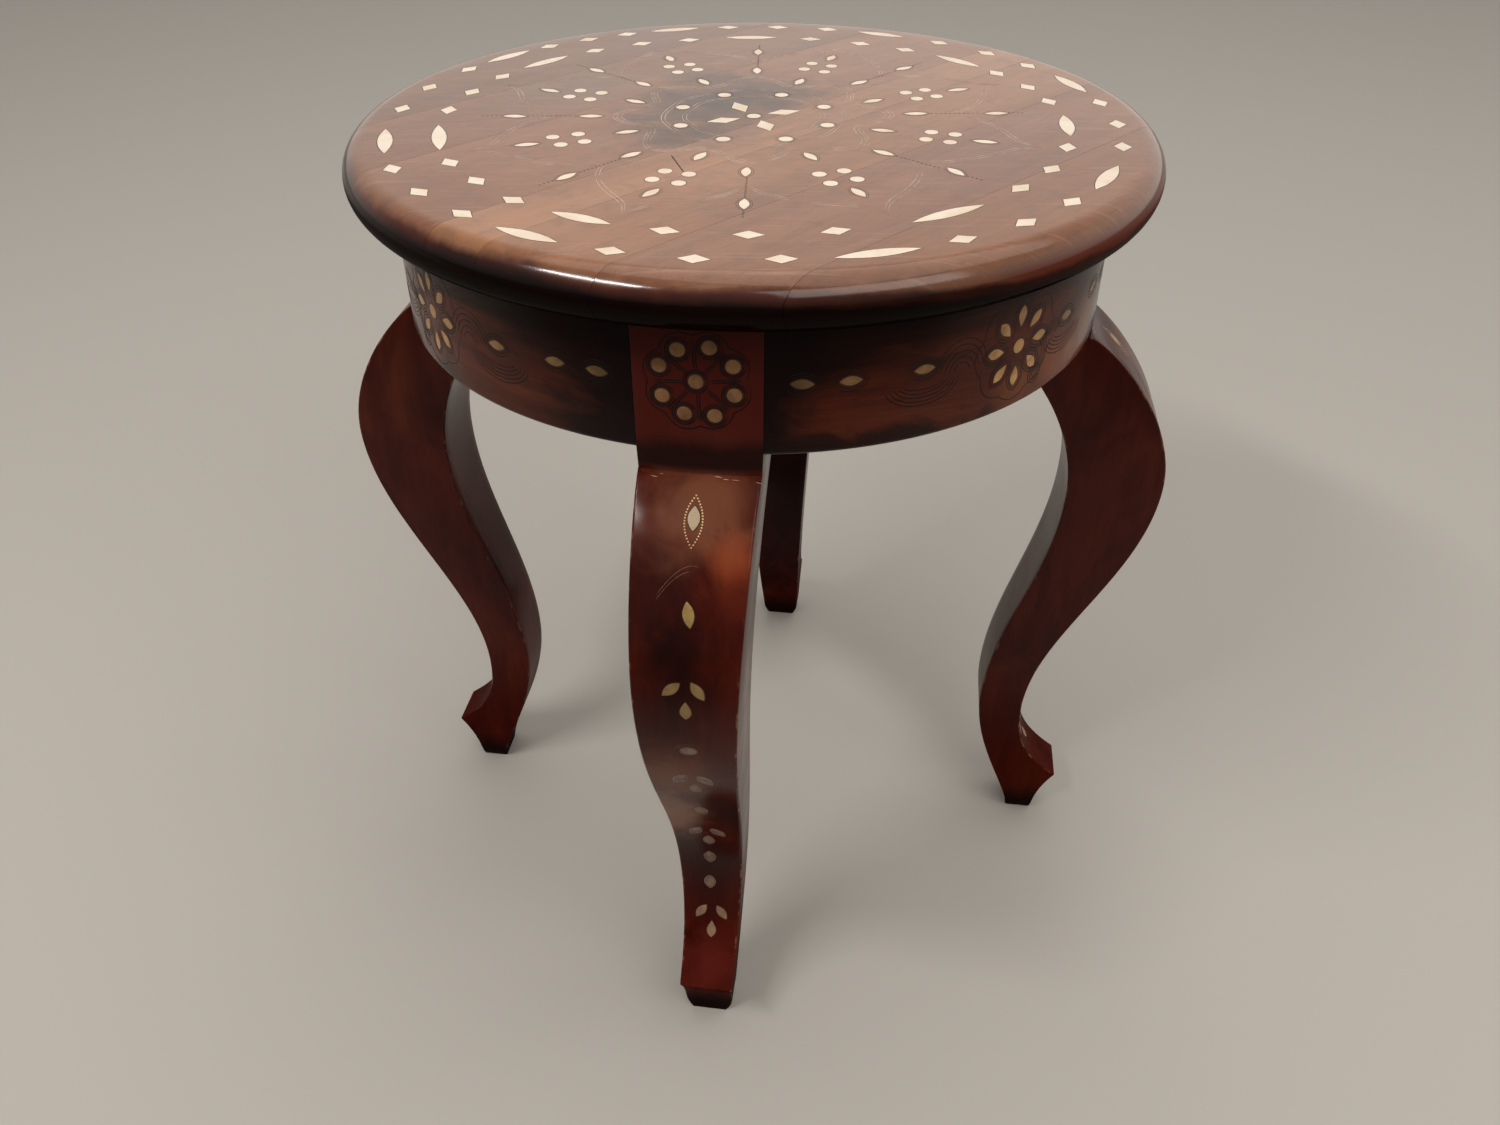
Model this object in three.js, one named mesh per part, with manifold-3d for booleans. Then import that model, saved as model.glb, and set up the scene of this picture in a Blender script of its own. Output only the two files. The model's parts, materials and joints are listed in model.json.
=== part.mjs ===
// A round stool of dark rosewood with bone and brass inlay, on four sawn cabriole legs.
// Millimetres, +Z up. The origin is on the floor under the middle of the seat.
// The front leg lies on -Y, the right leg on +X, the back leg on +Y and the left leg on -X.
import * as THREE from "three";
import { mergeVertices } from "three/addons/utils/BufferGeometryUtils.js";
import Module from "manifold-3d";

const wasm = await Module();
wasm.setup();

// Overall
const stoolHeight = 440;
const topRadius = 190;
const topThickness = 23;
const fit = 0.3; // space between two pieces that touch
const roundSteps = 96; // facets round the seat and the apron
const noseSteps = 8; // facets round the edge of the seat

// Seat boards: they run from front left to back right, as strips between glue lines.
const seamAngle = 53; // degrees from +X
const seamShares = [-0.737, -0.442, -0.19, -0.042, 0.337, 0.621]; // from the middle, across the strips, as shares of the radius

// Apron rails
const overhang = 19.5; // of the seat past the apron
const apronThickness = 20;
const apronHeight = 60;
const apronEdgeRound = 2.5;
const tenonThickness = 8;
const tenonShoulder = 10; // above and below the tenon
const tenonCore = 16; // wood left between the two tenons in a post

// Legs: the reaches are measured out from the face of the apron, the heights from the floor.
const postWidth = 52;
const postDrop = 9; // the flush face of the post runs this far below the rails
const postBackDrop = 18; // and its inner face this far
const kneeReach = 50;
const kneeDrop = 86; // from the crease under the post down to the widest place
const kneeDepth = 49;
const kneeBackDrop = 96;
const ankleReach = -1;
const ankleHeight = 92;
const ankleDepth = 26;
const ankleBackHeight = 99;
const toeReach = 27.5;
const toeHeight = 35;
const toeWidth = 28;
const footReach = 16.5;
const footDepth = 16;
const footWidth = 25;
const curveSteps = 12;

// Handles of the leg's curves: how long each curve keeps the direction that it starts in
const shoulderOut = 18.5; // where the knee leaves the post
const shoulderDown = 11;
const hollowLead = 20; // behind the knee, at 45 degrees
const toeLeadIn = 18;
const toeLeadUp = 13;
const kneeFullness = 0.44;
const shinFullness = 0.36;
const ankleFullness = 0.56;

// Glue blocks in the corners between posts and rails, each with one screw up into the seat
const blockHeight = 36;
const blockLength = 30; // along the rail
const blockThickness = 18.5; // the posts run this much further in than the rails
const screwFromPost = 9;
const screwCover = 9; // wood left in the seat above the screw's point
const screwRadius = 2.1;
const screwHeadRadius = 4.2;
const screwHeadHeight = 3;
const screwSlotWidth = 1.2;
const screwSlotDepth = 1.2;
const screwTip = 6;
const screwFacets = 14;

// Bone inlay of the seat. The pieces were laid by hand, so their spacing is a little uneven.
const inlayDepth = 2;
const leafLength = 32;
const leafWidth = 7.5;
const leafSteps = 8;
const outerRingInset = 20.5; // from the rim of the seat to the middle of a leaf
const outerRingAngles = [-22, 26, 72, 113, 149, 200, 247, 293];
const innerRingInset = 44.3;
const innerRingAngles = [2, 49, 98, 147, 200, 250, 309];
const diamondLength = 16.5;
const diamondWidth = 8.5;
const diamondGap = 4; // from the dot in the middle of the seat to a diamond
const diamondAngles = [30, 123, 212, 298];
const dotRadius = 3.3;
const dotSteps = 6;
const dotRingRadius = 36.8; // of the eight dots round the middle
const dotRingStart = -14.5;
const dotRingCount = 8;

// Sizes that follow
const topUnderside = stoolHeight - topThickness;
const frameTop = topUnderside - fit;
const apronRadius = topRadius - overhang;
const apronInner = apronRadius - apronThickness;
const apronBottom = topUnderside - apronHeight;
const postInner = apronInner - blockThickness;
const postHalf = postWidth / 2;
const crease = apronBottom - postDrop;
const screwBottom = frameTop - blockHeight;
const screwLength = blockHeight + fit + topThickness - screwCover;
const degree = Math.PI / 180;

// Materials
const boardColours = [0x5e3a2a, 0x6b4130, 0x7c4e33, 0x8a5836, 0x57352a, 0x664033, 0x5a382b];
const legWood = new THREE.MeshStandardMaterial({ color: 0x4a1d12, roughness: 0.38, metalness: 0 });
const railWood = new THREE.MeshStandardMaterial({ color: 0x42200f, roughness: 0.35, metalness: 0 });
const blockWood = new THREE.MeshStandardMaterial({ color: 0x7a5233, roughness: 0.8, metalness: 0 });
const bone = new THREE.MeshStandardMaterial({ color: 0xf0e2c8, roughness: 0.45, metalness: 0 });
const steel = new THREE.MeshStandardMaterial({ color: 0x8d8f92, roughness: 0.4, metalness: 1 });

// A closed geometry as a solid that can be cut and joined.
function solidOf(geometry) {
  const bare = geometry.clone();
  bare.deleteAttribute("normal");
  bare.deleteAttribute("uv");
  const merged = mergeVertices(bare, 1e-4);
  return new wasm.Manifold(
    new wasm.Mesh({
      numProp: 3,
      vertProperties: merged.attributes.position.array,
      triVerts: new Uint32Array(merged.index.array),
    }),
  );
}

// A solid as a geometry with flat faces.
function geometryOf(body) {
  const mesh = body.getMesh();
  const geometry = new THREE.BufferGeometry();
  geometry.setAttribute("position", new THREE.BufferAttribute(mesh.vertProperties, 3));
  geometry.setIndex(new THREE.BufferAttribute(mesh.triVerts, 1));
  const flat = geometry.toNonIndexed();
  flat.computeVertexNormals();
  return flat;
}

// A box between two corners.
function boxBetween(low, high) {
  const size = high.map((value, axis) => value - low[axis]);
  const box = new THREE.BoxGeometry(...size);
  box.translate(...high.map((value, axis) => (value + low[axis]) / 2));
  return box;
}

// A flat shape given a height between two levels.
function prism(shape, bottom, top, steps = curveSteps) {
  const geometry = new THREE.ExtrudeGeometry(shape, {
    depth: top - bottom,
    bevelEnabled: false,
    curveSegments: steps,
  });
  geometry.translate(0, 0, bottom);
  return geometry;
}

// A profile of [radius, height] pairs turned about the stool's axis.
function turned(profile, facets) {
  const points = profile.map(([radius, height]) => new THREE.Vector2(radius, height));
  const geometry = new THREE.LatheGeometry(points, facets);
  geometry.rotateX(Math.PI / 2);
  return geometry;
}

// Points on an arc from one angle to another, as [radius, height] pairs.
function arcPoints(centreRadius, centreHeight, radius, start, end, steps) {
  const points = [];
  for (let step = 0; step <= steps; step += 1) {
    const angle = (start + ((end - start) * step) / steps) * degree;
    const out = centreRadius + radius * Math.cos(angle);
    const up = centreHeight + radius * Math.sin(angle);
    points.push([out, up]);
  }
  return points;
}

// A pointed leaf between two equal arcs, its points on +X and -X. The margin widens it all round.
function leafShape(length, width, margin) {
  const radius = (length ** 2 + width ** 2) / (4 * width);
  const offset = radius - width / 2;
  const half = Math.acos(offset / (radius + margin));
  const shape = new THREE.Shape();
  shape.absarc(0, -offset, radius + margin, Math.PI / 2 - half, Math.PI / 2 + half);
  shape.absarc(0, offset, radius + margin, -Math.PI / 2 - half, -Math.PI / 2 + half);
  return shape;
}

// A diamond with its length along X. The margin widens it all round.
function diamondShape(length, width, margin) {
  const grow = 1 + (2 * margin * Math.hypot(length, width)) / (length * width);
  const x = (length / 2) * grow;
  const y = (width / 2) * grow;
  const shape = new THREE.Shape();
  shape.moveTo(x, 0);
  shape.lineTo(0, y);
  shape.lineTo(-x, 0);
  shape.lineTo(0, -y);
  shape.closePath();
  return shape;
}

function dotShape(radius, margin) {
  const shape = new THREE.Shape();
  shape.absarc(0, 0, radius + margin, 0, 2 * Math.PI);
  return shape;
}

// Each inlaid piece: its name, its outline with a margin, and its place on the seat.
function inlayPieces() {
  const pieces = [];
  const ringLeaf = (margin) => leafShape(leafLength, leafWidth, margin);
  const diamond = (margin) => diamondShape(diamondLength, diamondWidth, margin);
  outerRingAngles.forEach((angle, index) => {
    const name = `bone_leaf_outer_${index + 1}`;
    const radius = topRadius - outerRingInset;
    pieces.push({ name, outline: ringLeaf, steps: leafSteps, radius, angle, turn: angle + 90 });
  });
  innerRingAngles.forEach((angle, index) => {
    const name = `bone_leaf_inner_${index + 1}`;
    const radius = topRadius - innerRingInset;
    pieces.push({ name, outline: ringLeaf, steps: leafSteps, radius, angle, turn: angle + 90 });
  });
  diamondAngles.forEach((angle, index) => {
    const name = `bone_diamond_${index + 1}`;
    const radius = dotRadius + diamondGap + diamondLength / 2;
    pieces.push({ name, outline: diamond, steps: leafSteps, radius, angle, turn: angle });
  });
  const dot = { outline: (margin) => dotShape(dotRadius, margin), steps: dotSteps };
  pieces.push({ name: "bone_dot_centre", ...dot, radius: 0, angle: 0, turn: 0 });
  for (let index = 0; index < dotRingCount; index += 1) {
    const name = `bone_dot_middle_${index + 1}`;
    const angle = dotRingStart + (360 / dotRingCount) * index;
    pieces.push({ name, ...dot, radius: dotRingRadius, angle, turn: angle });
  }
  return pieces;
}

// The outline of an inlaid piece as a prism in its place, down from the face of the seat.
function inlayPrism(piece, margin, bottom, top) {
  const geometry = prism(piece.outline(margin), bottom, top, piece.steps);
  geometry.rotateZ(piece.turn * degree);
  const x = piece.radius * Math.cos(piece.angle * degree);
  const y = piece.radius * Math.sin(piece.angle * degree);
  geometry.translate(x, y, 0);
  return geometry;
}

// The places of the eight screws, one at each side of each post, in the middle of its block.
const screwSide = postHalf + screwFromPost;
const screwOut = (postInner + Math.sqrt(apronInner ** 2 - screwSide ** 2)) / 2;
const legAngles = { front: -90, right: 0, back: 90, left: 180 };

function screwPlaces() {
  const places = [];
  Object.entries(legAngles).forEach(([name, angle]) => {
    [-1, 1].forEach((side) => {
      const place = new THREE.Vector2(screwOut, side * screwSide);
      place.rotateAround(new THREE.Vector2(0, 0), angle * degree);
      places.push({ name, side, place });
    });
  });
  return places;
}

// A screw with a slotted countersunk head, standing on its head with the point up.
function screwProfile(margin) {
  const shank = screwRadius + margin;
  const head = screwHeadRadius + margin;
  return [
    [0, -margin],
    [head, -margin],
    [shank, screwHeadHeight],
    [shank, screwLength - screwTip],
    [0, screwLength + 2 * margin],
  ];
}

function screwSolid() {
  const body = solidOf(turned(screwProfile(0), screwFacets));
  const reach = screwHeadRadius + 1;
  const slot = boxBetween(
    [-reach, -screwSlotWidth / 2, -1],
    [reach, screwSlotWidth / 2, screwSlotDepth],
  );
  return body.subtract(solidOf(slot));
}

function screwHole(place) {
  const geometry = turned(screwProfile(fit), screwFacets);
  geometry.translate(place.x, place.y, screwBottom);
  return solidOf(geometry);
}

// The whole seat with its round nose, its pockets and its screw holes, before it is cut into strips.
function seatSolid() {
  const nose = topThickness / 2;
  const profile = [
    [0, topUnderside],
    ...arcPoints(topRadius - nose, topUnderside + nose, nose, -90, 90, noseSteps),
    [0, stoolHeight],
  ];
  let body = solidOf(turned(profile, roundSteps));
  inlayPieces().forEach((piece) => {
    const bottom = stoolHeight - inlayDepth - fit;
    body = body.subtract(solidOf(inlayPrism(piece, fit, bottom, stoolHeight + 1)));
  });
  screwPlaces().forEach(({ place }) => {
    body = body.subtract(screwHole(place));
  });
  return body;
}

// The strips of the seat, from one rim to the other.
function seatBoards() {
  const whole = seatSolid();
  const rim = topRadius + 1;
  const seams = seamShares.map((share) => share * topRadius);
  const edges = [-rim, ...seams, rim];
  return edges.slice(1).map((far, index) => {
    const near = edges[index];
    const strip = new THREE.BoxGeometry(2 * rim, far - near - fit, topThickness + 2);
    strip.translate(0, (far + near) / 2, topUnderside + topThickness / 2);
    strip.rotateZ(seamAngle * degree);
    return whole.intersect(solidOf(strip));
  });
}

// The ring that the four rails are parts of, with a softened lower edge.
function apronRing() {
  const round = apronEdgeRound;
  const bottomCurve = arcPoints(apronRadius - round, apronBottom + round, round, -90, 0, 3);
  const profile = [
    [apronInner, frameTop],
    [apronInner, apronBottom],
    ...bottomCurve,
    [apronRadius, frameTop],
    [apronInner, frameTop],
  ];
  return solidOf(turned(profile, roundSteps));
}

// The middle of a tenon, measured out along the leg, where the rail meets the side of the post.
const tenonMiddle = Math.sqrt(((apronRadius + apronInner) / 2) ** 2 - postHalf ** 2);

function tenonBox(side, margin, root) {
  const half = tenonThickness / 2 + margin;
  const sides = [side * (tenonCore / 2 - margin), side * root].sort((a, b) => a - b);
  return boxBetween(
    [tenonMiddle - half, sides[0], apronBottom + tenonShoulder - margin],
    [tenonMiddle + half, sides[1], frameTop - tenonShoulder + margin],
  );
}

// A rail in the quarter between the leg on +X and the leg on +Y, with a tenon at each end.
function railSolid() {
  const start = postHalf + fit;
  const end = apronRadius + 1;
  const quarter = boxBetween([start, start, apronBottom - 1], [end, end, frameTop + 1]);
  const root = start + tenonThickness / 4;
  const nearTenon = tenonBox(1, 0, root);
  const farTenon = tenonBox(-1, 0, root).rotateZ(Math.PI / 2);
  return apronRing().intersect(solidOf(quarter)).add(solidOf(nearTenon)).add(solidOf(farTenon));
}

// The side outline of a leg: post, knee, ankle and pointed toe, as distance from the stool's axis
// and height. It goes down the inner side and up the outer side.
function legSide() {
  const knee = apronRadius + kneeReach;
  const kneeHeight = crease - kneeDrop;
  const kneeBack = knee - kneeDepth;
  const kneeBackHeight = crease - kneeBackDrop;
  const ankle = apronRadius + ankleReach;
  const ankleBack = ankle - ankleDepth;
  const toe = apronRadius + toeReach;
  const foot = apronRadius + footReach;
  const footBack = foot - footDepth;
  const postBackBottom = apronBottom - postBackDrop;
  const backRise = postBackBottom - kneeBackHeight;
  const backSweep = kneeBackHeight - ankleBackHeight;
  const sweep = kneeHeight - ankleHeight;
  const shape = new THREE.Shape();
  shape.moveTo(postInner, frameTop);
  shape.lineTo(postInner, postBackBottom);
  shape.bezierCurveTo(
    postInner + hollowLead,
    postBackBottom - hollowLead,
    kneeBack,
    kneeBackHeight + backRise * kneeFullness,
    kneeBack,
    kneeBackHeight,
  );
  shape.bezierCurveTo(
    kneeBack,
    kneeBackHeight - backSweep * shinFullness,
    ankleBack,
    ankleBackHeight + backSweep * shinFullness,
    ankleBack,
    ankleBackHeight,
  );
  shape.bezierCurveTo(
    ankleBack,
    ankleBackHeight * ankleFullness,
    footBack,
    toeHeight / 2,
    footBack,
    0,
  );
  shape.lineTo(foot, 0);
  shape.quadraticCurveTo(foot, toeHeight / 2, toe, toeHeight);
  shape.bezierCurveTo(
    toe - toeLeadIn,
    toeHeight + toeLeadUp,
    ankle,
    ankleHeight - (ankleHeight - toeHeight) * ankleFullness,
    ankle,
    ankleHeight,
  );
  shape.bezierCurveTo(
    ankle,
    ankleHeight + sweep * shinFullness,
    knee,
    kneeHeight - sweep * shinFullness,
    knee,
    kneeHeight,
  );
  shape.bezierCurveTo(
    knee,
    kneeHeight + kneeDrop * kneeFullness,
    apronRadius + shoulderOut,
    crease - shoulderDown,
    apronRadius,
    crease,
  );
  shape.lineTo(apronRadius, frameTop);
  shape.closePath();
  return shape;
}

// The front outline of a leg: straight at the post, then an even taper down to the toe.
function legFront() {
  const shape = new THREE.Shape();
  shape.moveTo(-footWidth / 2, 0);
  shape.lineTo(footWidth / 2, 0);
  shape.lineTo(toeWidth / 2, toeHeight);
  shape.lineTo(postHalf, apronBottom);
  shape.lineTo(postHalf, frameTop);
  shape.lineTo(-postHalf, frameTop);
  shape.lineTo(-postHalf, apronBottom);
  shape.lineTo(-toeWidth / 2, toeHeight);
  shape.closePath();
  return shape;
}

// A leg is sawn from two sides, then turned flush with the rails, then mortised.
function legSolid() {
  const side = prism(legSide(), -postHalf - 1, postHalf + 1);
  side.rotateX(Math.PI / 2);
  const front = prism(legFront(), 0, 2 * apronRadius);
  front.rotateX(Math.PI / 2);
  front.rotateZ(Math.PI / 2);
  const around = turned(
    [
      [apronRadius, crease],
      [topRadius, crease],
      [topRadius, stoolHeight],
      [apronRadius, stoolHeight],
      [apronRadius, crease],
    ],
    roundSteps,
  );
  const sawn = solidOf(side).intersect(solidOf(front)).subtract(solidOf(around));
  const past = postHalf + 1;
  const nearMortise = solidOf(tenonBox(1, fit, past));
  const farMortise = solidOf(tenonBox(-1, fit, past));
  return sawn.subtract(nearMortise).subtract(farMortise);
}

// A glue block between the side of a post and the inner face of a rail, for the leg on +X.
function blockSolid(side) {
  const near = postHalf + fit;
  const far = postHalf + blockLength;
  const facetSag = apronInner * (1 - Math.cos(Math.PI / roundSteps));
  const radius = apronInner - fit - facetSag;
  const nearAngle = Math.asin(near / radius);
  const farAngle = Math.asin(far / radius);
  const shape = new THREE.Shape();
  shape.moveTo(postInner, side * near);
  shape.lineTo(radius * Math.cos(nearAngle), side * near);
  shape.absarc(0, 0, radius, side * nearAngle, side * farAngle, side < 0);
  shape.lineTo(postInner, side * far);
  shape.closePath();
  const geometry = prism(shape, screwBottom, frameTop, 4);
  const hole = screwHole(new THREE.Vector2(screwOut, side * screwSide));
  return solidOf(geometry).subtract(hole);
}

const stool = new THREE.Group();

function addPiece(name, body, material, turn = 0) {
  const mesh = new THREE.Mesh(geometryOf(body), material);
  mesh.name = name;
  mesh.rotation.z = turn * degree;
  stool.add(mesh);
  return mesh;
}

seatBoards().forEach((board, index) => {
  const wood = new THREE.MeshStandardMaterial({
    color: boardColours[index % boardColours.length],
    roughness: 0.36,
    metalness: 0,
  });
  addPiece(`top_board_${index + 1}`, board, wood);
});

inlayPieces().forEach((piece) => {
  const body = solidOf(inlayPrism(piece, 0, stoolHeight - inlayDepth, stoolHeight));
  addPiece(piece.name, body, bone);
});

const rail = railSolid();
const railTurns = { front_right: -90, back_right: 0, back_left: 90, front_left: 180 };
Object.entries(railTurns).forEach(([name, turn]) => {
  addPiece(`apron_rail_${name}`, rail, railWood, turn);
});

const leg = legSolid();
Object.entries(legAngles).forEach(([name, angle]) => {
  addPiece(`leg_${name}`, leg, legWood, angle);
  addPiece(`glue_block_${name}_1`, blockSolid(-1), blockWood, angle);
  addPiece(`glue_block_${name}_2`, blockSolid(1), blockWood, angle);
});

screwPlaces().forEach(({ name, side, place }) => {
  const screw = addPiece(`top_screw_${name}_${side < 0 ? 1 : 2}`, screwSolid(), steel);
  screw.position.set(place.x, place.y, screwBottom);
});

export default stool;
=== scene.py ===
# Round inlaid stool: finished surfaces, inlay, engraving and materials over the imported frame.
import json
import math
import bmesh
import bpy
import numpy as np
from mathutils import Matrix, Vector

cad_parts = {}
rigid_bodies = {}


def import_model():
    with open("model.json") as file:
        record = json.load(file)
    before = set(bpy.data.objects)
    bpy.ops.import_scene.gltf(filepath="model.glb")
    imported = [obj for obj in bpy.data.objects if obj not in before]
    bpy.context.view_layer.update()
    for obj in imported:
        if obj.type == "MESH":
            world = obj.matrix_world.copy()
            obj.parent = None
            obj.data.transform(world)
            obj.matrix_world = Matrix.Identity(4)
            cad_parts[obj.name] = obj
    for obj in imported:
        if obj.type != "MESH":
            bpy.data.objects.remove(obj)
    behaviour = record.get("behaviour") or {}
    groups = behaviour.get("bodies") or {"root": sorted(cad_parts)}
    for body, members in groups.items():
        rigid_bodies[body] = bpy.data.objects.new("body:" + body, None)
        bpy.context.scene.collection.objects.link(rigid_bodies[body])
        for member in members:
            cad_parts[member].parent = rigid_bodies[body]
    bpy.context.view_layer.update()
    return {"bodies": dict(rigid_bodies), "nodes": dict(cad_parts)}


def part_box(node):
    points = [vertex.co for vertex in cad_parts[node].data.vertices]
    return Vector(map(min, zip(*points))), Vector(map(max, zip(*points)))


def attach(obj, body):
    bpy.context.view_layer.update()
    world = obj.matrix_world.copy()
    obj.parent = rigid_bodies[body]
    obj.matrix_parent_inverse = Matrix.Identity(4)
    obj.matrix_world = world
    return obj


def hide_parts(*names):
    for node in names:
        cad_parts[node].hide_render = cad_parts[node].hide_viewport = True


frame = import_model()
stoolBody = list(frame["bodies"])[0]
mm = 0.001
print("frame loaded:", len(frame["nodes"]), "nodes on", stoolBody)

# Sizes that the pieces share, in millimetres
size = {
    "seatRadius": 190.0,
    "seatThickness": 23.0,
    "seatTop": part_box("top_board_4")[1].z / mm,
    "apronRadius": 170.5,
    "apronThickness": 20.0,
    "apronBottom": 357.0,
    "frameTop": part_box("apron_rail_front_left")[1].z / mm,
    "postHalf": 26.0,
    "postInner": 132.0,
    "crease": 348.0,
    "gap": 0.3,
}
legAngles = {"front": -90.0, "right": 0.0, "back": 90.0, "left": 180.0}
railAngles = {"front_right": -90.0, "back_right": 0.0, "back_left": 90.0, "front_left": 180.0}

# Points, faces and pieces


def stacked(*parts):
    # Coordinates side by side as points, stretched to a common shape.
    return np.stack(np.broadcast_arrays(*parts), axis=-1)


def circle(radius, angle, x=0.0, y=0.0):
    # Points round (x, y), the angle in radians.
    return stacked(x + radius * np.cos(angle), y + radius * np.sin(angle))


def polar(radius, degrees):
    return circle(radius, np.radians(degrees))


def turned(shape, degrees):
    # Turns flat points about the origin.
    x, y, angle = shape[..., 0], shape[..., 1], np.radians(degrees)
    return stacked(x * np.cos(angle) - y * np.sin(angle), x * np.sin(angle) + y * np.cos(angle))


def turnAbout(points, degrees):
    # Turns points about the stool's axis.
    return np.concatenate([turned(points[..., :2], degrees), points[..., 2:]], axis=-1)


def bezier(controls, count):
    # A Bezier curve: each control point is weighed by its binomial share of t.
    t = np.linspace(0, 1, count)[:, None]
    n = len(controls) - 1
    weights = [math.comb(n, k) * (1 - t) ** (n - k) * t**k for k in range(n + 1)]
    return sum(weight * np.array(control, float) for weight, control in zip(weights, controls))


def tubeFaces(rows, around, start=0, capped=False):
    # Quads round a tube whose point (i, j) has number start + i * around + j, and its two ends.
    i, j = np.arange(rows - 1)[:, None] * around, np.arange(around)
    after = (j + 1) % around
    quads = stacked(i + j, i + after, i + around + after, i + around + j) + start
    ends = [list(range(start + k, start + k + around)) for k in (0, (rows - 1) * around)]
    return quads.reshape(-1, 4).tolist() + (ends if capped else [])


def fanFaces(around, start, middle):
    # Triangles from a ring of points to one middle point.
    step = np.arange(around)
    return stacked(start + step, start + (step + 1) % around, middle).tolist()


def label(name):
    # front_left becomes FrontLeft.
    return "".join(word.title() for word in name.split("_"))


def addObject(name, data):
    thing = bpy.data.objects.new(name, data)
    bpy.context.scene.collection.objects.link(thing)
    return thing


def makePiece(name, points, faces, material, nodes=(), uv=None, wear=None, sharp=35.0):
    # points is any array whose last axis is x, y, z in millimetres.
    mesh = bpy.data.meshes.new(name)
    mesh.from_pydata((points.reshape(-1, 3) * mm).tolist(), [], faces)
    if uv is not None:
        corner = np.empty(len(mesh.loops), int)
        mesh.loops.foreach_get("vertex_index", corner)
        layer = mesh.uv_layers.new(name="UVMap")
        layer.data.foreach_set("uv", (uv.reshape(-1, 2)[corner] * mm).ravel())
    if wear is not None:
        mesh.attributes.new("wear", "FLOAT", "POINT").data.foreach_set("value", wear.ravel())
    return finishPiece(name, mesh, material, nodes, sharp)


def finishPiece(name, mesh, material, nodes, sharp):
    work = bmesh.new()
    work.from_mesh(mesh)
    bmesh.ops.remove_doubles(work, verts=work.verts, dist=1e-7)
    bmesh.ops.dissolve_degenerate(work, edges=work.edges, dist=1e-8)
    bmesh.ops.recalc_face_normals(work, faces=work.faces)
    work.to_mesh(mesh)
    work.free()
    mesh.polygons.foreach_set("use_smooth", np.ones(len(mesh.polygons), bool))
    mesh.set_sharp_from_angle(angle=math.radians(sharp))
    mesh.materials.append(material)
    piece = addObject(name, mesh)
    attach(piece, stoolBody)
    if nodes:
        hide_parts(*nodes)
    return piece


# Nodes. A socket knows its own tree, so only a node without inputs has to be told it.


def isSocket(value):
    return isinstance(value, bpy.types.NodeSocket)


def plug(node, inputs):
    # An input is linked where a socket is given, and set where a plain value is.
    for key, value in inputs.items():
        if isSocket(value):
            node.id_data.links.new(value, node.inputs[key])
        else:
            node.inputs[key].default_value = value


def addNode(kind, inputs, tree=None, **settings):
    tree = tree or next(value for value in inputs.values() if isSocket(value)).id_data
    node = tree.nodes.new(kind)
    for key, value in settings.items():
        setattr(node, key, value)
    plug(node, inputs)
    return node.outputs


def calculate(operation, first, second=0.0):
    return addNode("ShaderNodeMath", {0: first, 1: second}, operation=operation)[0]


def plus(first, second):
    return calculate("ADD", first, second)


def times(first, second):
    return calculate("MULTIPLY", first, second)


def swing(value, reach):
    # A noise taken about its middle of one half, times a reach.
    return times(calculate("SUBTRACT", value, 0.5), reach)


def split(place):
    return addNode("ShaderNodeSeparateXYZ", {0: place})


def away(place, stretch, middle=(0, 0, 0)):
    # The distance from a middle, each axis stretched by its own number.
    offset = addNode("ShaderNodeVectorMath", {0: place, 1: middle}, operation="SUBTRACT")[0]
    shaped = addNode("ShaderNodeVectorMath", {0: offset, 1: stretch}, operation="MULTIPLY")[0]
    return addNode("ShaderNodeVectorMath", {0: shaped}, operation="LENGTH")["Value"]


def spread(value, low, high, toLow=0.0, toHigh=1.0, kind="SMOOTHSTEP"):
    # Maps the span low..high of a value to toLow..toHigh and holds it outside.
    inputs = {"Value": value, "From Min": low, "From Max": high, "To Min": toLow, "To Max": toHigh}
    return addNode("ShaderNodeMapRange", inputs, interpolation_type=kind)["Result"]


def noise(place, scale, detail=3.0, roughness=0.55, distortion=0.0):
    inputs = {"Scale": scale, "Detail": detail, "Roughness": roughness, "Distortion": distortion}
    return addNode("ShaderNodeTexNoise", {"Vector": place, **inputs})["Fac"]


def placed(place, turn=0.0, stretch=(1, 1, 1), shift=(0, 0, 0)):
    # Turns coordinates about Z by the grain's angle, then stretches and shifts them.
    turn = (0, 0, -math.radians(turn))
    grain = addNode("ShaderNodeMapping", {"Vector": place, "Rotation": turn})[0]
    return addNode("ShaderNodeMapping", {"Vector": grain, "Scale": stretch, "Location": shift})[0]


def bump(height, strength, distance, invert=False, **more):
    inputs = {"Height": height, "Strength": strength, "Distance": distance, **more}
    return addNode("ShaderNodeBump", inputs, invert=invert)[0]


def ramp(factor, stops):
    output = addNode("ShaderNodeValToRGB", {"Fac": factor})["Color"]
    elements = output.node.color_ramp.elements
    while len(elements) < len(stops):
        elements.new(0.5)
    for element, (position, colour) in zip(elements, stops):
        element.position = position
        element.color = (*colour, 1)
    return output


def blend(factor, first, second):
    first, second = [tone if isSocket(tone) else (*tone, 1) for tone in (first, second)]
    return addNode("ShaderNodeMix", {0: factor, 6: first, 7: second}, data_type="RGBA")[2]


def scaled(colour, share):
    return [min(1, part * share) for part in colour]


def newMaterial(name):
    material = bpy.data.materials.new(name)
    material.use_nodes = True
    place = addNode("ShaderNodeTexCoord", {}, material.node_tree)
    return material, material.node_tree.nodes["Principled BSDF"], place


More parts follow.
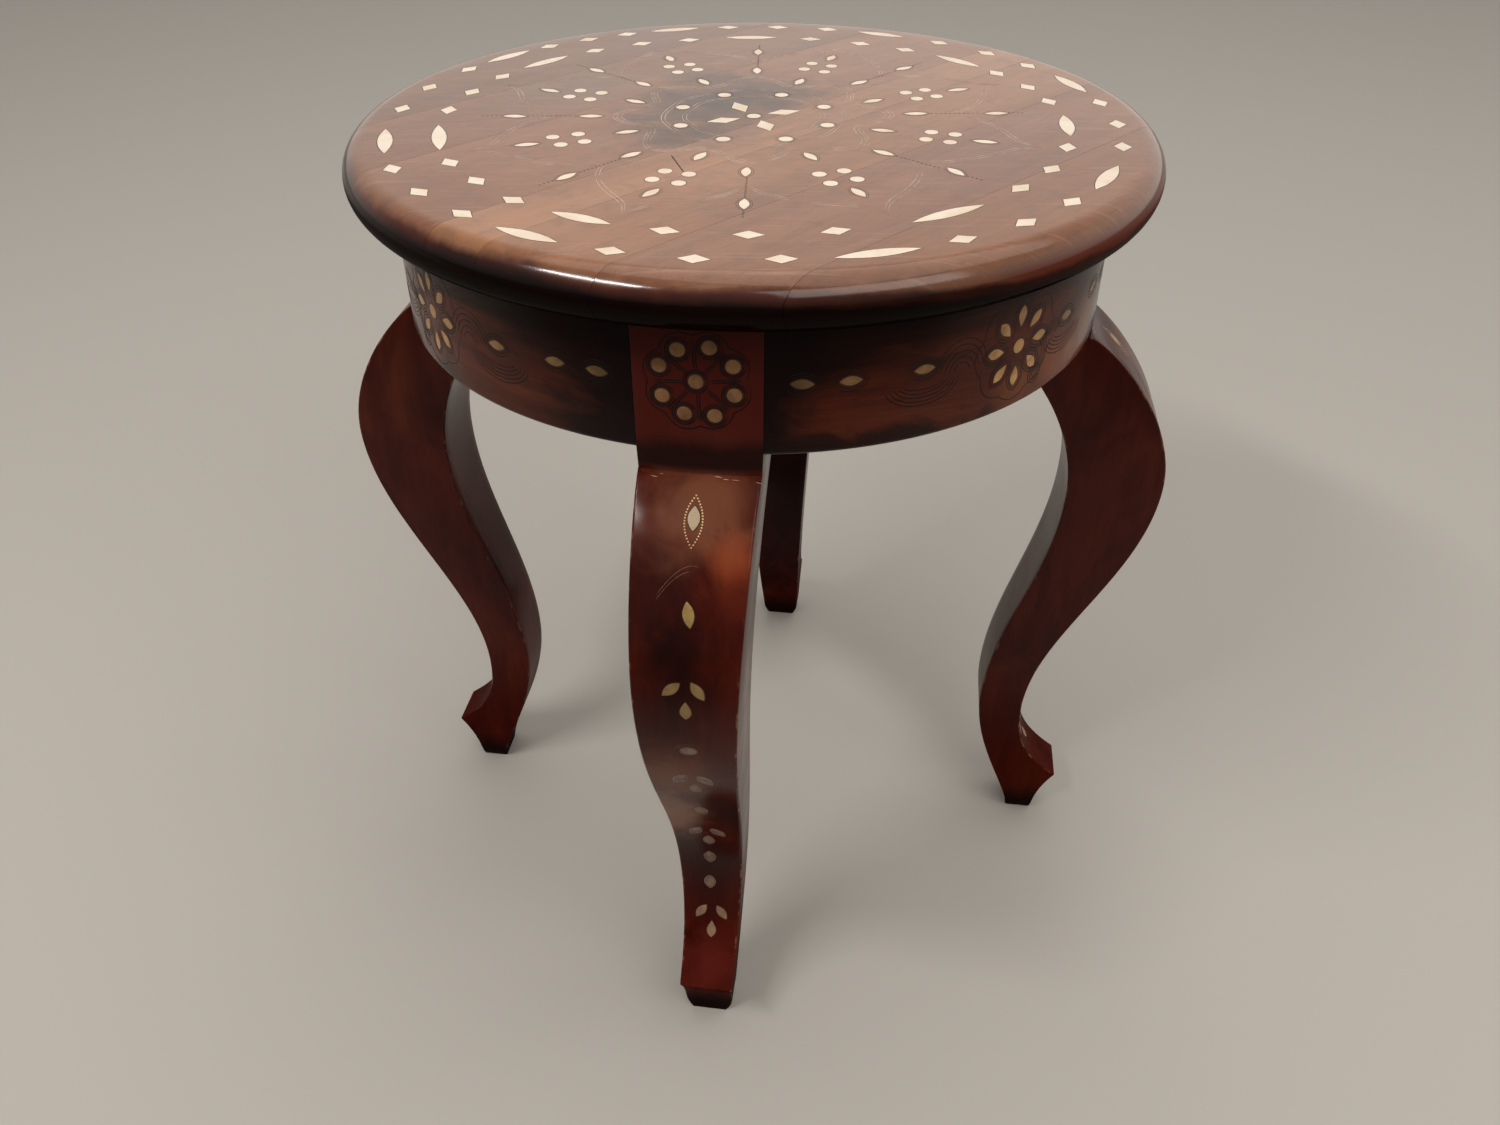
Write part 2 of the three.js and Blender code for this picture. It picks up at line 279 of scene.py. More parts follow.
# Lacquered rosewood. Colours are linear, and lengths are in metres in all the materials.
woodLook = {
    # Noises: scale along and across the grain, detail, roughness, distortion
    "figure": (5.0, 46.0, 5.0, 0.6, 0.7),
    "streak": (9.0, 420.0, 3.0, 0.6, 0.3),
    "pore": (70.0, 1500.0, 2.0, 0.5, 0.0),
    # Noises of the lacquer: scale, detail, roughness
    "smudge": (34.0, 5.0, 0.6),
    "ripple": (42.0, 2.0, 0.45),
    "streakShare": 0.22,
    "stops": (0.33, 0.66),
    "poreSpan": (0.6, 0.72),
    "poreDark": 0.35,
    "poreTone": 0.25,
    "poreBump": (0.15, 0.0002),
    "lacquerBump": 0.05,
    "lacquerDepth": 0.004,
    "coat": 0.85,
    "coatIndex": 1.26,
    "coatRoughness": (0.1, 0.2),
    "coatFade": None,  # bare height, full height, share left
    "underCoat": 0.6,
    # How the grain lies
    "turn": 0.0,
    "shift": (0, 0, 0),
    "upright": False,
    "grainPlace": "Object",
    # What changes the colour afterwards, in this order
    "steps": (),
}


def woodMaterial(name, dark, middle, light, **changes):
    look = {**woodLook, **changes}
    material, shader, place = newMaterial(name)

    def grain(along, across, *character):
        stretch = (across, across, along) if look["upright"] else (along, across, across)
        grained = placed(place[look["grainPlace"]], look["turn"], stretch, look["shift"])
        return noise(grained, 1.0, *character)

    figure, streak, pore = [grain(*look[kind]) for kind in ("figure", "streak", "pore")]
    share, (low, high) = look["streakShare"], look["stops"]
    tone = plus(times(figure, 1 - share), times(streak, share))
    colour = ramp(tone, [(low, dark), (0.5, middle), (high, light)])
    pores = spread(pore, *look["poreSpan"])
    colour = blend(times(pores, look["poreDark"]), colour, scaled(dark, look["poreTone"]))
    for step in look["steps"]:
        colour = step(place, colour)
    smudge = noise(place["Object"], *look["smudge"])
    gloss = spread(smudge, 0.3, 0.7, *look["coatRoughness"], kind="LINEAR")
    lacquer = bump(noise(place["Object"], *look["ripple"]), look["lacquerBump"], look["lacquerDepth"])
    surface = bump(pores, *look["poreBump"], invert=True, Normal=lacquer)
    roughness = look["underCoat"] if look["coat"] else gloss
    plug(shader, {"Base Color": colour, "Normal": surface, "Roughness": roughness})
    if look["coat"]:
        # Under lacquer the wood itself doesn't shine
        plug(shader, {"Coat Roughness": gloss, "Coat Normal": lacquer, "Specular IOR Level": 0.0})
        plug(shader, {"Coat Weight": look["coat"], "Coat IOR": look["coatIndex"]})
    if look["coatFade"]:
        bare, full, left = look["coatFade"]
        plug(shader, {"Coat Weight": spread(split(place["Object"])[2], bare, full, left, look["coat"])})
    return material


def boneMaterial(name, base, yellow, roughness=0.34, coat=0.35):
    material, shader, place = newMaterial(name)
    cloud = noise(place["Object"], 55.0, 4.0, 0.6, 0.4)
    fine = noise(placed(place["Object"], 37.0, (240, 1500, 1500)), 1.0, 3.0)
    colour = ramp(cloud, [(0.34, yellow), (0.52, base), (0.7, scaled(base, 1.06))])
    colour = blend(spread(fine, 0.6, 0.75, 0.0, 0.35), colour, scaled(yellow, 0.6))
    gloss = spread(cloud, 0.3, 0.7, roughness + 0.1, roughness - 0.06)
    plug(shader, {"Base Color": colour, "Roughness": gloss, "Normal": bump(fine, 0.12, 0.0002)})
    plug(shader, {"Coat Weight": coat, "Coat Roughness": 0.2})
    return material


def brassMaterial(name, bright, tarnish, *steps):
    material, shader, place = newMaterial(name)
    colour = ramp(noise(place["Object"], 120.0, 4.0, 0.6, 0.5), [(0.36, tarnish), (0.58, bright)])
    for step in steps:
        colour = step(place, colour)
    scratch = noise(placed(place["Object"], 20.0, (300, 3200, 900)), 1.0, 2.0)
    gloss = spread(scratch, 0.35, 0.7, 0.34, 0.52)
    plug(shader, {"Base Color": colour, "Roughness": gloss, "Normal": bump(scratch, 0.2, 0.0001)})
    plug(shader, {"Metallic": 0.3, "Specular IOR Level": 0.3, "Coat Weight": 0.2, "Coat Roughness": 0.25})
    return material


def lineMaterial(name, colour, other, roughness=0.55):
    material, shader, place = newMaterial(name)
    worn = noise(place["Object"], 90.0, 4.0, 0.65)
    gloss = spread(worn, 0.3, 0.7, roughness, roughness - 0.2)
    tone = ramp(worn, [(0.4, other), (0.6, colour)])
    plug(shader, {"Base Color": tone, "Roughness": gloss, "Specular IOR Level": 0.15})
    return material


def steelMaterial(name, dark, light):
    material, shader, place = newMaterial(name)
    scuff = noise(place["Object"], 900.0, 3.0)
    gloss = spread(scuff, 0.3, 0.7, 0.28, 0.5)
    tone = ramp(scuff, [(0.35, dark), (0.65, light)])
    plug(shader, {"Base Color": tone, "Roughness": gloss, "Metallic": 1.0})
    return material


# Brass is brighter at a rail's middle and darker near the posts, partly tarnish and partly painted shade, and
# darker again up under the seat, which is painted shade
railBrassTarnishAndShadeSpans = {
    "fromPosts": (0.4, 0.72, 0.42, 1.0),
    "atMiddle": (0.9, 0.99, 1.0, 1.6),
    "shadeUnderSeat": (0.372, 0.4, 1.2, 0.85),
}


def railBrassTarnishAndShade(place, colour):
    # The product of x and y is greatest at a rail's middle, where it is half the radius squared.
    x, y, z = split(place["Object"])
    share = calculate("DIVIDE", calculate("ABSOLUTE", times(x, y)), (size["apronRadius"] * mm) ** 2 / 2)
    tone = times(spread(share, *railBrassTarnishAndShadeSpans["fromPosts"]), spread(share, *railBrassTarnishAndShadeSpans["atMiddle"]))
    # Up under the seat the brass is darker: painted shade
    tone = times(tone, spread(z, *railBrassTarnishAndShadeSpans["shadeUnderSeat"]))
    return addNode("ShaderNodeVectorMath", {0: colour, "Scale": tone}, operation="SCALE")[0]


bone = boneMaterial("bone", (0.755, 0.625, 0.495), (0.67, 0.52, 0.37))
boneWorn = boneMaterial("boneWorn", (0.43, 0.32, 0.19), (0.27, 0.17, 0.09), 0.62, 0.05)

# Brass by its place: the bright tone, the tarnished one, and what else changes it. Post and Shin are darker
# copies of the brass that paint the shade under the seat and on the shin.
brassLooks = {
    "Knee": [(0.39, 0.25, 0.082), (0.28, 0.165, 0.055)],
    "Wire": [(0.62, 0.44, 0.2), (0.42, 0.27, 0.11)],
    # Painted shade: a darker copy of the brass for the shin
    "Shin": [(0.3, 0.19, 0.077), (0.2, 0.115, 0.047)],
    "Worn": [(0.24, 0.15, 0.1), (0.11, 0.055, 0.035)],
    "Foot": [(0.34, 0.2, 0.115), (0.22, 0.12, 0.07)],
    # Painted shade: a darker copy of the brass for the posts under the seat
    "Post": [(0.28, 0.14, 0.055), (0.17, 0.077, 0.031)],
    "Rail": [(0.31, 0.172, 0.065), (0.2, 0.1, 0.038), railBrassTarnishAndShade],
}
brass = {part: brassMaterial(f"brass{part}", *look) for part, look in brassLooks.items()}

# Glue, engraving, scratches and chips: the tone, the other tone, and how rough
lineLooks = {
    "glueLine": [(0.045, 0.022, 0.014), (0.02, 0.01, 0.007)],
    "engravedPale": [(0.5, 0.4, 0.34), (0.28, 0.17, 0.12)],
    "engravedDark": [(0.02, 0.009, 0.006), (0.035, 0.014, 0.008)],
    "engravedBlack": [(0.004, 0.002, 0.0015), (0.009, 0.003, 0.002)],
    "engravedRose": [(0.17, 0.08, 0.055), (0.06, 0.02, 0.013)],
    "scratchPale": [(0.34, 0.2, 0.14), (0.24, 0.11, 0.07)],
    "bareWood": [(0.55, 0.4, 0.3), (0.3, 0.14, 0.08), 0.7],
}
lines = {name: lineMaterial(name, *look) for name, look in lineLooks.items()}
print("bone, brass and line finishes made")

# Surfaces that carry inlay: each turns two lengths along the surface and a height over it into a place.


def onSeat(a, b, height):
    return stacked(a, b, size["seatTop"] + height)


def onApron(degrees):
    # a is measured round the apron from the given angle, b is the height from the floor.
    def place(a, b, height):
        angle = math.radians(degrees) + a / size["apronRadius"]
        radius = size["apronRadius"] + height
        return stacked(radius * np.cos(angle), radius * np.sin(angle), b)

    return place


# The leg's two side curves, as (reach from the axis, height), from the post down to the foot
legCurve = {
    "knee": (220.5, 262.0),
    "kneeBack": (171.5, 252.0),
    "ankle": (169.5, 92.0),
    "ankleBack": (143.5, 99.0),
    "toe": (198.0, 35.0),
    "foot": (187.0, 0.0),
    "footBack": (171.0, 0.0),
    "postBackBottom": 339.0,
    # How far the curves' inner control points stand off, as lengths or as shares of a rise
    "kneeOut": (18.5, -11.0),
    "kneeBackOut": (20.0, -20.0),
    "kneeShare": 0.44,
    "shinShare": 0.36,
    "ankleShare": 0.56,
    "toeOut": (-18.0, 13.0),
    "toeWidth": 28.0,
    "footWidth": 25.0,
    "edge": 1.1,
    "postEdge": 0.35,
    "footWear": 2.6,
    "wearHeight": 9.0,
    "across": 9,
    "cornerSteps": 5,
    "postRows": 8,
    "kneeRows": 30,
    "shinRows": 44,
    "ankleRows": 24,
    "toeRows": 20,
}


def kneeAndShin(top, out, knee, ankle):
    # From the post out to the knee, and in one S from there to the ankle.
    c = legCurve
    (topR, topZ), (kneeR, kneeZ), (ankleR, ankleZ) = top, knee, ankle
    pull = (kneeZ - ankleZ) * c["shinShare"]
    bend = [(topR + out[0], topZ + out[1]), (kneeR, kneeZ + (topZ - kneeZ) * c["kneeShare"])]
    kneePart = bezier([top, *bend, knee], c["kneeRows"])
    shinPart = bezier([knee, (kneeR, kneeZ - pull), (ankleR, ankleZ + pull), ankle], c["shinRows"])
    return [kneePart, shinPart[1:]]


def outerCurve():
    c = legCurve
    (ankleR, ankleZ), (toeR, toeZ), (footR, _) = c["ankle"], c["toe"], c["foot"]
    outward = (toeR + c["toeOut"][0], toeZ + c["toeOut"][1])
    down = (ankleR, ankleZ - (ankleZ - toeZ) * c["ankleShare"])
    anklePart = bezier([c["ankle"], down, outward, c["toe"]], c["ankleRows"])
    toePart = bezier([c["toe"], (footR, toeZ / 2), c["foot"]], c["toeRows"])
    top = kneeAndShin((size["apronRadius"], size["crease"]), c["kneeOut"], c["knee"], c["ankle"])
    return np.concatenate([*top, anklePart[1:], toePart[1:]])


def backCurve():
    c = legCurve
    (ankleR, ankleZ), (footR, _) = c["ankleBack"], c["footBack"]
    middle = [(ankleR, ankleZ * c["ankleShare"]), (footR, c["toe"][1] / 2)]
    foot = bezier([c["ankleBack"], *middle, c["footBack"]], c["ankleRows"] + c["toeRows"] - 1)
    post = (size["postInner"], c["postBackBottom"])
    return np.concatenate([*kneeAndShin(post, c["kneeBackOut"], c["kneeBack"], c["ankleBack"]), foot[1:]])


legFace = outerCurve()
legFaceLength = np.concatenate([[0], np.cumsum(np.hypot(*np.diff(legFace, axis=0).T))])


def onLeg(degrees):
    # a is measured across the leg, b down its outer face from the crease under the post.
    def place(a, b, height):
        def at(down):
            return [np.interp(down, legFaceLength, legFace[:, k]) for k in (0, 1)]

        (reach, rise), (lowR, lowZ), (highR, highZ) = at(b), at(b + 1.5), at(b - 1.5)
        alongR, alongZ = lowR - highR, lowZ - highZ
        over = height / np.hypot(alongR, alongZ)
        return turnAbout(stacked(reach - over * alongZ, a, rise + over * alongR), degrees)

    return place


# Seat: one disc with a round nose, sawn into boards at its glue lines
seat = {
    "seamAngle": 53.0,
    "seamShares": [-0.737, -0.442, -0.19, -0.042, 0.337, 0.621],
    "gap": 0.14,
    "around": 288,
    "noseRows": 22,
    "innerShares": [0.35, 0.7, 0.95],
    "wood": {
        "coat": 1.0,
        "coatIndex": 1.5,
        "coatFade": (0.4285, 0.434, 0.1),
        "coatRoughness": (0.09, 0.2),
        "stops": (0.28, 0.72),
    },
}


def seatDisc():
    # A profile of (radius, height) turned about the axis: flat top, half-round nose, flat underside.
    nose = size["seatThickness"] / 2
    middle, edge = size["seatTop"] - nose, size["seatRadius"] - nose
    angle = np.radians(np.linspace(90, -90, seat["noseRows"]))
    inner = edge * np.array(seat["innerShares"])
    radius = np.concatenate([inner, edge + nose * np.cos(angle), inner[::-1]])[:, None]
    height = np.concatenate([inner * 0 + nose, nose * np.sin(angle), inner * 0 - nose])[:, None] + middle
    turn = np.linspace(0, 2 * math.pi, seat["around"], endpoint=False)
    ring = stacked(radius * np.cos(turn), radius * np.sin(turn), height)
    points = np.concatenate([ring.reshape(-1, 3), [[0, 0, middle + nose], [0, 0, middle - nose]]])
    rows, around = len(radius), seat["around"]
    faces = tubeFaces(rows, around) + fanFaces(around, 0, rows * around)
    return points * mm, faces + fanFaces(around, (rows - 1) * around, rows * around + 1)


patchLook = {"rough": (38.0, 4.0, 0.6, 0.6), "wobble": 1.5, "edge": 1.15, "core": 0.1}


def stainOrPaintedLight(middle, reach, colour, strength, tall=1.0):
    # A soft patch round a point, its edge broken up by noise, and taller than wide if asked; it paints real
    # stains and also painted light and shade.
    def step(place, base):
        distance = away(place["Object"], (1, 1, 1 / tall), [c * mm for c in middle])
        rough = noise(place["Object"], *patchLook["rough"])
        distance = plus(distance, swing(rough, reach * mm * patchLook["wobble"]))
        edge, core = reach * mm * patchLook["edge"], reach * mm * patchLook["core"]
        return blend(spread(distance, edge, core, 0.0, strength), base, colour)

    return step


# The seat's nose: spans of height, of the distance from the axis and of the place to the right. Its lower
# half is painted near black as shade.
rimLook = {
    "rough": (30.0, 4.0, 0.6),
    "radiusSwing": 0.008,
    "heightSwing": 0.007,
    "face": (0.179, 0.19, 0.0, 0.38),
    "nose": (0.4397, 0.4354),
    "under": (0.4365, 0.4315, 0.0, 0.97),
    "lowerRight": (0.05, 0.135, 0.0, 0.0072),
    "lowerMiddle": (-0.045, 0.0, 0.0, 0.0018),
    "lowerUnder": (-0.02, 0.08, 0.0, 0.0015),
    "redAcross": (0.085, 0.135),
    "redDown": (0.436, 0.4315),
    "red": (0.145, 0.027, 0.012),
    "patch": (9, 9, 30),
    "patchStops": [(0.42, (0.022, 0.006, 0.004)), (0.58, (0.065, 0.014, 0.007)), (0.7, (0.14, 0.036, 0.014))],
    # Painted shade: the near black of the nose's lower half
    "black": (0.004, 0.0015, 0.0012),
    "insideApron": (0.15, 0.162),
    "underside": (0.4195, 0.4175),
    "raw": (0.1, 0.05, 0.027),
    "stained": (0.01, 0.004, 0.003),
}


def rimDarkening(place, base):
    # The nose of the seat is darker and redder than its face, with rubbed patches, and painted near black as
    # shade on its lower half.
    k = rimLook
    x, _, z = split(place["Object"])
    rough = noise(place["Object"], *k["rough"])
    radius = plus(away(place["Object"], (1, 1, 0)), swing(rough, k["radiusSwing"]))
    # From the front's middle to the right the brown reaches further down the nose, and turns red there
    drop = plus(spread(x, *k["lowerRight"]), spread(x, *k["lowerMiddle"]))
    base = blend(times(spread(x, *k["redAcross"]), spread(z, *k["redDown"])), base, k["red"])
    lowered = plus(plus(z, drop), swing(rough, k["heightSwing"]))
    factor = calculate("MAXIMUM", spread(radius, *k["face"]), spread(lowered, *k["nose"]))
    patch = noise(placed(place["Object"], 0, k["patch"]), 1.0, 4.0, 0.6)
    # Down the nose the mottled tones give way to near black: painted shade where the nose faces the floor
    under = spread(plus(lowered, spread(x, *k["lowerUnder"])), *k["under"])
    base = blend(factor, base, blend(under, ramp(patch, k["patchStops"]), k["black"]))
    # Underneath, the bare wood shows inside the apron and the stain outside it
    raw = blend(spread(radius, *k["insideApron"]), k["raw"], k["stained"])
    return blend(spread(z, *k["underside"]), base, raw)


# Cloudy wear, and fine rubbing from side to side, as years of use leave them
wearLook = {
    "cloud": (75.0, 6.0, 0.68, 0.4),
    "cloudSpan": (0.5, 0.66, 0.0, 0.34),
    "cloudTone": (0.12, 0.062, 0.045),
    "rubbing": (22, 620, 22),
    "rubbingTurn": 8,
    "rubbingSpan": (0.53, 0.7, 0.0, 0.26),
    "rubbingTone": (0.4, 0.24, 0.17),
}


def seatWear(place, base):
    k = wearLook
    base = blend(spread(noise(place["Object"], *k["cloud"]), *k["cloudSpan"]), base, k["cloudTone"])
    rubbing = noise(placed(place["Object"], k["rubbingTurn"], k["rubbing"]), 1.0, 5.0, 0.7, 0.4)
    return blend(spread(rubbing, *k["rubbingSpan"]), base, k["rubbingTone"])


# Each board: dark, middle and light tone, the grain's angle, and where its figure is taken from
boardLooks = [
    [(0.157, 0.06, 0.027), (0.205, 0.08, 0.036), (0.254, 0.104, 0.05), 52, (1.3, 2.1, 0)],
    [(0.165, 0.065, 0.033), (0.215, 0.088, 0.045), (0.27, 0.116, 0.062), 54, (4.1, 0.7, 0)],
    [(0.19, 0.076, 0.034), (0.25, 0.104, 0.047), (0.305, 0.132, 0.062), 53, (2.6, 5.3, 0)],
    [(0.215, 0.09, 0.042), (0.275, 0.119, 0.056), (0.335, 0.152, 0.074), 53, (7.7, 3.2, 0)],
    [(0.174, 0.068, 0.032), (0.228, 0.091, 0.043), (0.28, 0.118, 0.057), 51, (9.2, 6.1, 0)],
    [(0.156, 0.06, 0.027), (0.188, 0.071, 0.031), (0.236, 0.096, 0.045), 55, (5.5, 8.8, 0)],
    [(0.128, 0.046, 0.021), (0.156, 0.056, 0.024), (0.198, 0.077, 0.035), 53, (3.9, 9.4, 0)],
]
# Worn and dark patches of each board: place, reach, tone and strength
boardStains = [
    [],
    [((120, -60, 440), 60, (0.12, 0.05, 0.037), 0.3)],
    [
        ((-70, -140, 440), 36, (0.32, 0.145, 0.065), 0.5),
        ((-6, -82, 440), 36, (0.36, 0.165, 0.085), 0.45),
        ((30, -115, 440), 40, (0.11, 0.052, 0.038), 0.5),
    ],
    [
        ((-88, -140, 440), 44, (0.36, 0.16, 0.074), 0.55),
        ((-24, -8, 440), 44, (0.13, 0.064, 0.048), 0.7),
        ((95, 128, 440), 60, (0.35, 0.165, 0.085), 0.5),
    ],
    [
        ((-112, -116, 440), 46, (0.15, 0.054, 0.024), 0.55),
        ((-18, 26, 440), 58, (0.03, 0.012, 0.009), 0.9),
        ((-35, -30, 440), 30, (0.03, 0.012, 0.009), 0.75),
        ((100, 82, 440), 36, (0.34, 0.17, 0.09), 0.5),
    ],
    [
        ((-30, 46, 440), 34, (0.038, 0.017, 0.012), 0.7),
        ((-95, 30, 440), 50, (0.16, 0.1, 0.078), 0.5),
        ((30, 120, 440), 44, (0.12, 0.055, 0.042), 0.5),
    ],
    [((-75, 120, 440), 40, (0.14, 0.06, 0.042), 0.5)],
]


def sawAt(board, cut, across, keepAbove):
    # One cut through a board, square to the seams, and the sawn face closed.
    everything = [*board.verts, *board.edges, *board.faces]
    point = [c * cut * mm for c in across]
    sides = {"clear_inner": keepAbove, "clear_outer": not keepAbove}
    bmesh.ops.bisect_plane(board, geom=everything, dist=1e-7, plane_co=point, plane_no=across, **sides)
    bmesh.ops.holes_fill(board, edges=[e for e in board.edges if e.is_boundary], sides=0)


def makeBoards():
    points, faces = seatDisc()
    whole = bpy.data.meshes.new("seatDisc")
    whole.from_pydata(points.tolist(), [], faces)
    angle = math.radians(seat["seamAngle"])
    across = (-math.sin(angle), math.cos(angle), 0)
    seams = [share * size["seatRadius"] for share in seat["seamShares"]]
    for index, (low, high) in enumerate(zip([None, *seams], [*seams, None])):
        board = bmesh.new()
        board.from_mesh(whole)
        if low is not None:
            sawAt(board, low + seat["gap"] / 2, across, True)
        if high is not None:
            sawAt(board, high - seat["gap"] / 2, across, False)
        mesh = bpy.data.meshes.new(f"seatBoard{index + 1}")
        board.to_mesh(mesh)
        board.free()
        steps = [*[stainOrPaintedLight(*row) for row in boardStains[index]], seatWear, rimDarkening]
        *tones, turn, shift = boardLooks[index]
        look = {"turn": turn, "shift": shift, "steps": steps, **seat["wood"]}
        material = woodMaterial(f"seatWood{index + 1}", *tones, **look)
        node = f"top_board_{index + 1}"
        finishPiece(f"seatBoard{index + 1}", mesh, material, [node], sharp=40)
    bpy.data.meshes.remove(whole)


makeBoards()
print("seat boards made")

# Apron rails: a rounded section carried round a quarter, with square ends at the posts
rail = {
    "corner": 0.5,
    "lowerCorner": 2.5,
    "along": 64,
    "cornerSteps": 6,
    "tones": [(0.033, 0.0062, 0.0033), (0.075, 0.0135, 0.0055), (0.135, 0.029, 0.0105)],
    "wood": {"grainPlace": "UV", "streakShare": 0.2},
    # Where a rail is darker: spans of distance from its middle and of height, and the tones there. The
    # darkening under the seat is painted shade.
    "cloud": (16, 34, 1),
    "besideSwing": 0.11,
    "beside": (0.066, 0.106, 0.0, 0.95),
    "besideTone": (0.005, 0.0018, 0.0017),
    "riseSwing": 0.05,
    "aboveLean": 0.3,
    "above": (0.392, 0.42, 0.0, 0.9),
    "aboveTone": (0.0065, 0.002, 0.0018),
    "below": (0.3655, 0.3585, 0.0, 0.8),
    "belowTone": (0.006, 0.0022, 0.0018),
    # Where the right rail is rubbed to a lighter brown: place, reach, tone, strength and tallness
    "front_right": [
        ((143, -93, 370), 26, (0.2, 0.046, 0.012), 0.85, 0.8),
        ((157, -66, 372), 20, (0.26, 0.1, 0.055), 0.6, 1.2),
        ((128, -113, 366), 17, (0.19, 0.052, 0.012), 0.75, 0.9),
    ],
}


def railPoints():
    inner, outer = size["apronRadius"] - size["apronThickness"], size["apronRadius"]
    low, high = size["apronBottom"], size["frameTop"]
    c, lower = rail["corner"], rail["lowerCorner"]
    # Each corner: the middle of its rounding, the radius, and the angle that the quarter circle starts at
    corners = [
        (outer - c, high - c, c, 0),
        (inner + c, high - c, c, 90),
        (inner + c, low + c, c, 180),
        (outer - lower, low + lower, lower, 270),
    ]
    quarter = np.linspace(0, math.pi / 2, rail["cornerSteps"])
    section = np.concatenate([circle(r, math.radians(start) + quarter, x, z) for x, z, r, start in corners])
    radius, height = section[:, 0], section[:, 1]
    side = np.arcsin((size["postHalf"] + size["gap"] / 3) / radius)
    angle = side + np.linspace(0, 1, rail["along"])[:, None] * (math.pi / 2 - 2 * side)
    return stacked(radius * np.cos(angle), radius * np.sin(angle), height), stacked(angle * outer, height)


def railTint(place, base):
    # Darker beside the posts, painted shade under the seat, and brighter red-brown in between.
    along, rise, _ = split(place["UV"])
    quarter = size["apronRadius"] * math.pi / 4 * mm
    fromMiddle = calculate("ABSOLUTE", calculate("SUBTRACT", along, quarter))
    cloud = noise(placed(place["UV"], 0, rail["cloud"]), 1.0, 5.0, 0.6, 0.8)
    beside = spread(plus(fromMiddle, swing(cloud, rail["besideSwing"])), *rail["beside"])
    base = blend(beside, base, rail["besideTone"])
    rise = plus(rise, swing(cloud, rail["riseSwing"]))
    # The painted shade under the seat comes lower the further it is from the rail's middle
    above = spread(plus(rise, times(fromMiddle, rail["aboveLean"])), *rail["above"])
    base = blend(above, base, rail["aboveTone"])
    return blend(spread(rise, *rail["below"]), base, rail["belowTone"])


def makeRails():
    points, uv = railPoints()
    faces = tubeFaces(*points.shape[:2], capped=True)
    for index, (name, angle) in enumerate(railAngles.items()):
        steps = [railTint, *[stainOrPaintedLight(*row) for row in rail.get(name, [])]]
        look = {"shift": (index * 3.7, index * 1.9, 0), "steps": steps, **rail["wood"]}
        material = woodMaterial(f"apronWood{index + 1}", *rail["tones"], **look)
        piece, node = f"apronRail{label(name)}", f"apron_rail_{name}"
        makePiece(piece, turnAbout(points, angle), faces, material, [node], uv=uv)


makeRails()
print("apron rails made")

# Legs: a rounded cross section carried down between the outer and the inner curve


def legRows():
    # The outer and the inner side curve, row by row, from the top of the post.
    c = legCurve
    ends = ((size["apronRadius"], size["crease"]), (size["postInner"], c["postBackBottom"]))
    posts = [stacked(reach, np.linspace(size["frameTop"], bottom, c["postRows"])) for reach, bottom in ends]
    return [np.concatenate([post, curve]) for post, curve in zip(posts, (outerCurve(), backCurve()))]


def halfWidth(height):
    # Straight at the post, then one even taper to the toe and another to the foot, worn round at the end.
    c = legCurve
    halves = [c["footWidth"] / 2, c["toeWidth"] / 2, size["postHalf"]]
    wide = np.interp(height, [0, c["toe"][1], size["apronBottom"]], halves)
    return (wide - c["footWear"] * np.clip(1 - height / c["wearHeight"], 0, 1) ** 2)[:, None]


def legPoints():
    c = legCurve
    outer, back = legRows()
    isPost = (np.arange(len(outer)) < c["postRows"])[:, None]
    edge = np.where(isPost, c["postEdge"], c["edge"])
    # The loop of one section: across the outer face, round a corner, across the inner face, round the other
    quarter = np.radians(np.linspace(0, 90, c["cornerSteps"]))
    across = np.linspace(-1, 1, c["across"])[1:-1]
    ones, flat = np.ones(c["cornerSteps"]), 0 * across
    sides = np.concatenate([-ones, across, ones])
    inset = np.concatenate([1 - np.cos(quarter[::-1]), flat, 1 - np.cos(quarter)])
    pull = np.concatenate([1 - np.sin(quarter[::-1]), flat + 1, 1 - np.sin(quarter)])
    wear = np.concatenate([np.sin(2 * quarter), flat, np.sin(2 * quarter)])
    onOuter = np.arange(2 * len(sides)) < len(sides)
    sides, inset, pull = [np.concatenate([part, part[::-1]]) for part in (sides, inset, pull)]
    wear = np.concatenate([wear, 0.6 * wear[::-1]])
    lateral = sides * (np.where(onOuter, halfWidth(outer[:, 1]), halfWidth(back[:, 1])) - edge * pull)
    gap = outer - back
    depth = np.hypot(gap[:, 0], gap[:, 1])[:, None]
    along = np.where(onOuter, depth - edge * inset, edge * inset) / depth
    reach, height = back[:, :1] + gap[:, :1] * along, back[:, 1:] + gap[:, 1:] * along
    turnedIn = size["apronRadius"] - np.sqrt(size["apronRadius"] ** 2 - lateral**2)
    reach = reach - np.where(isPost & onOuter, turnedIn, 0)
    return stacked(reach, lateral, height), wear * np.where(isPost, 0.15, 1.0)


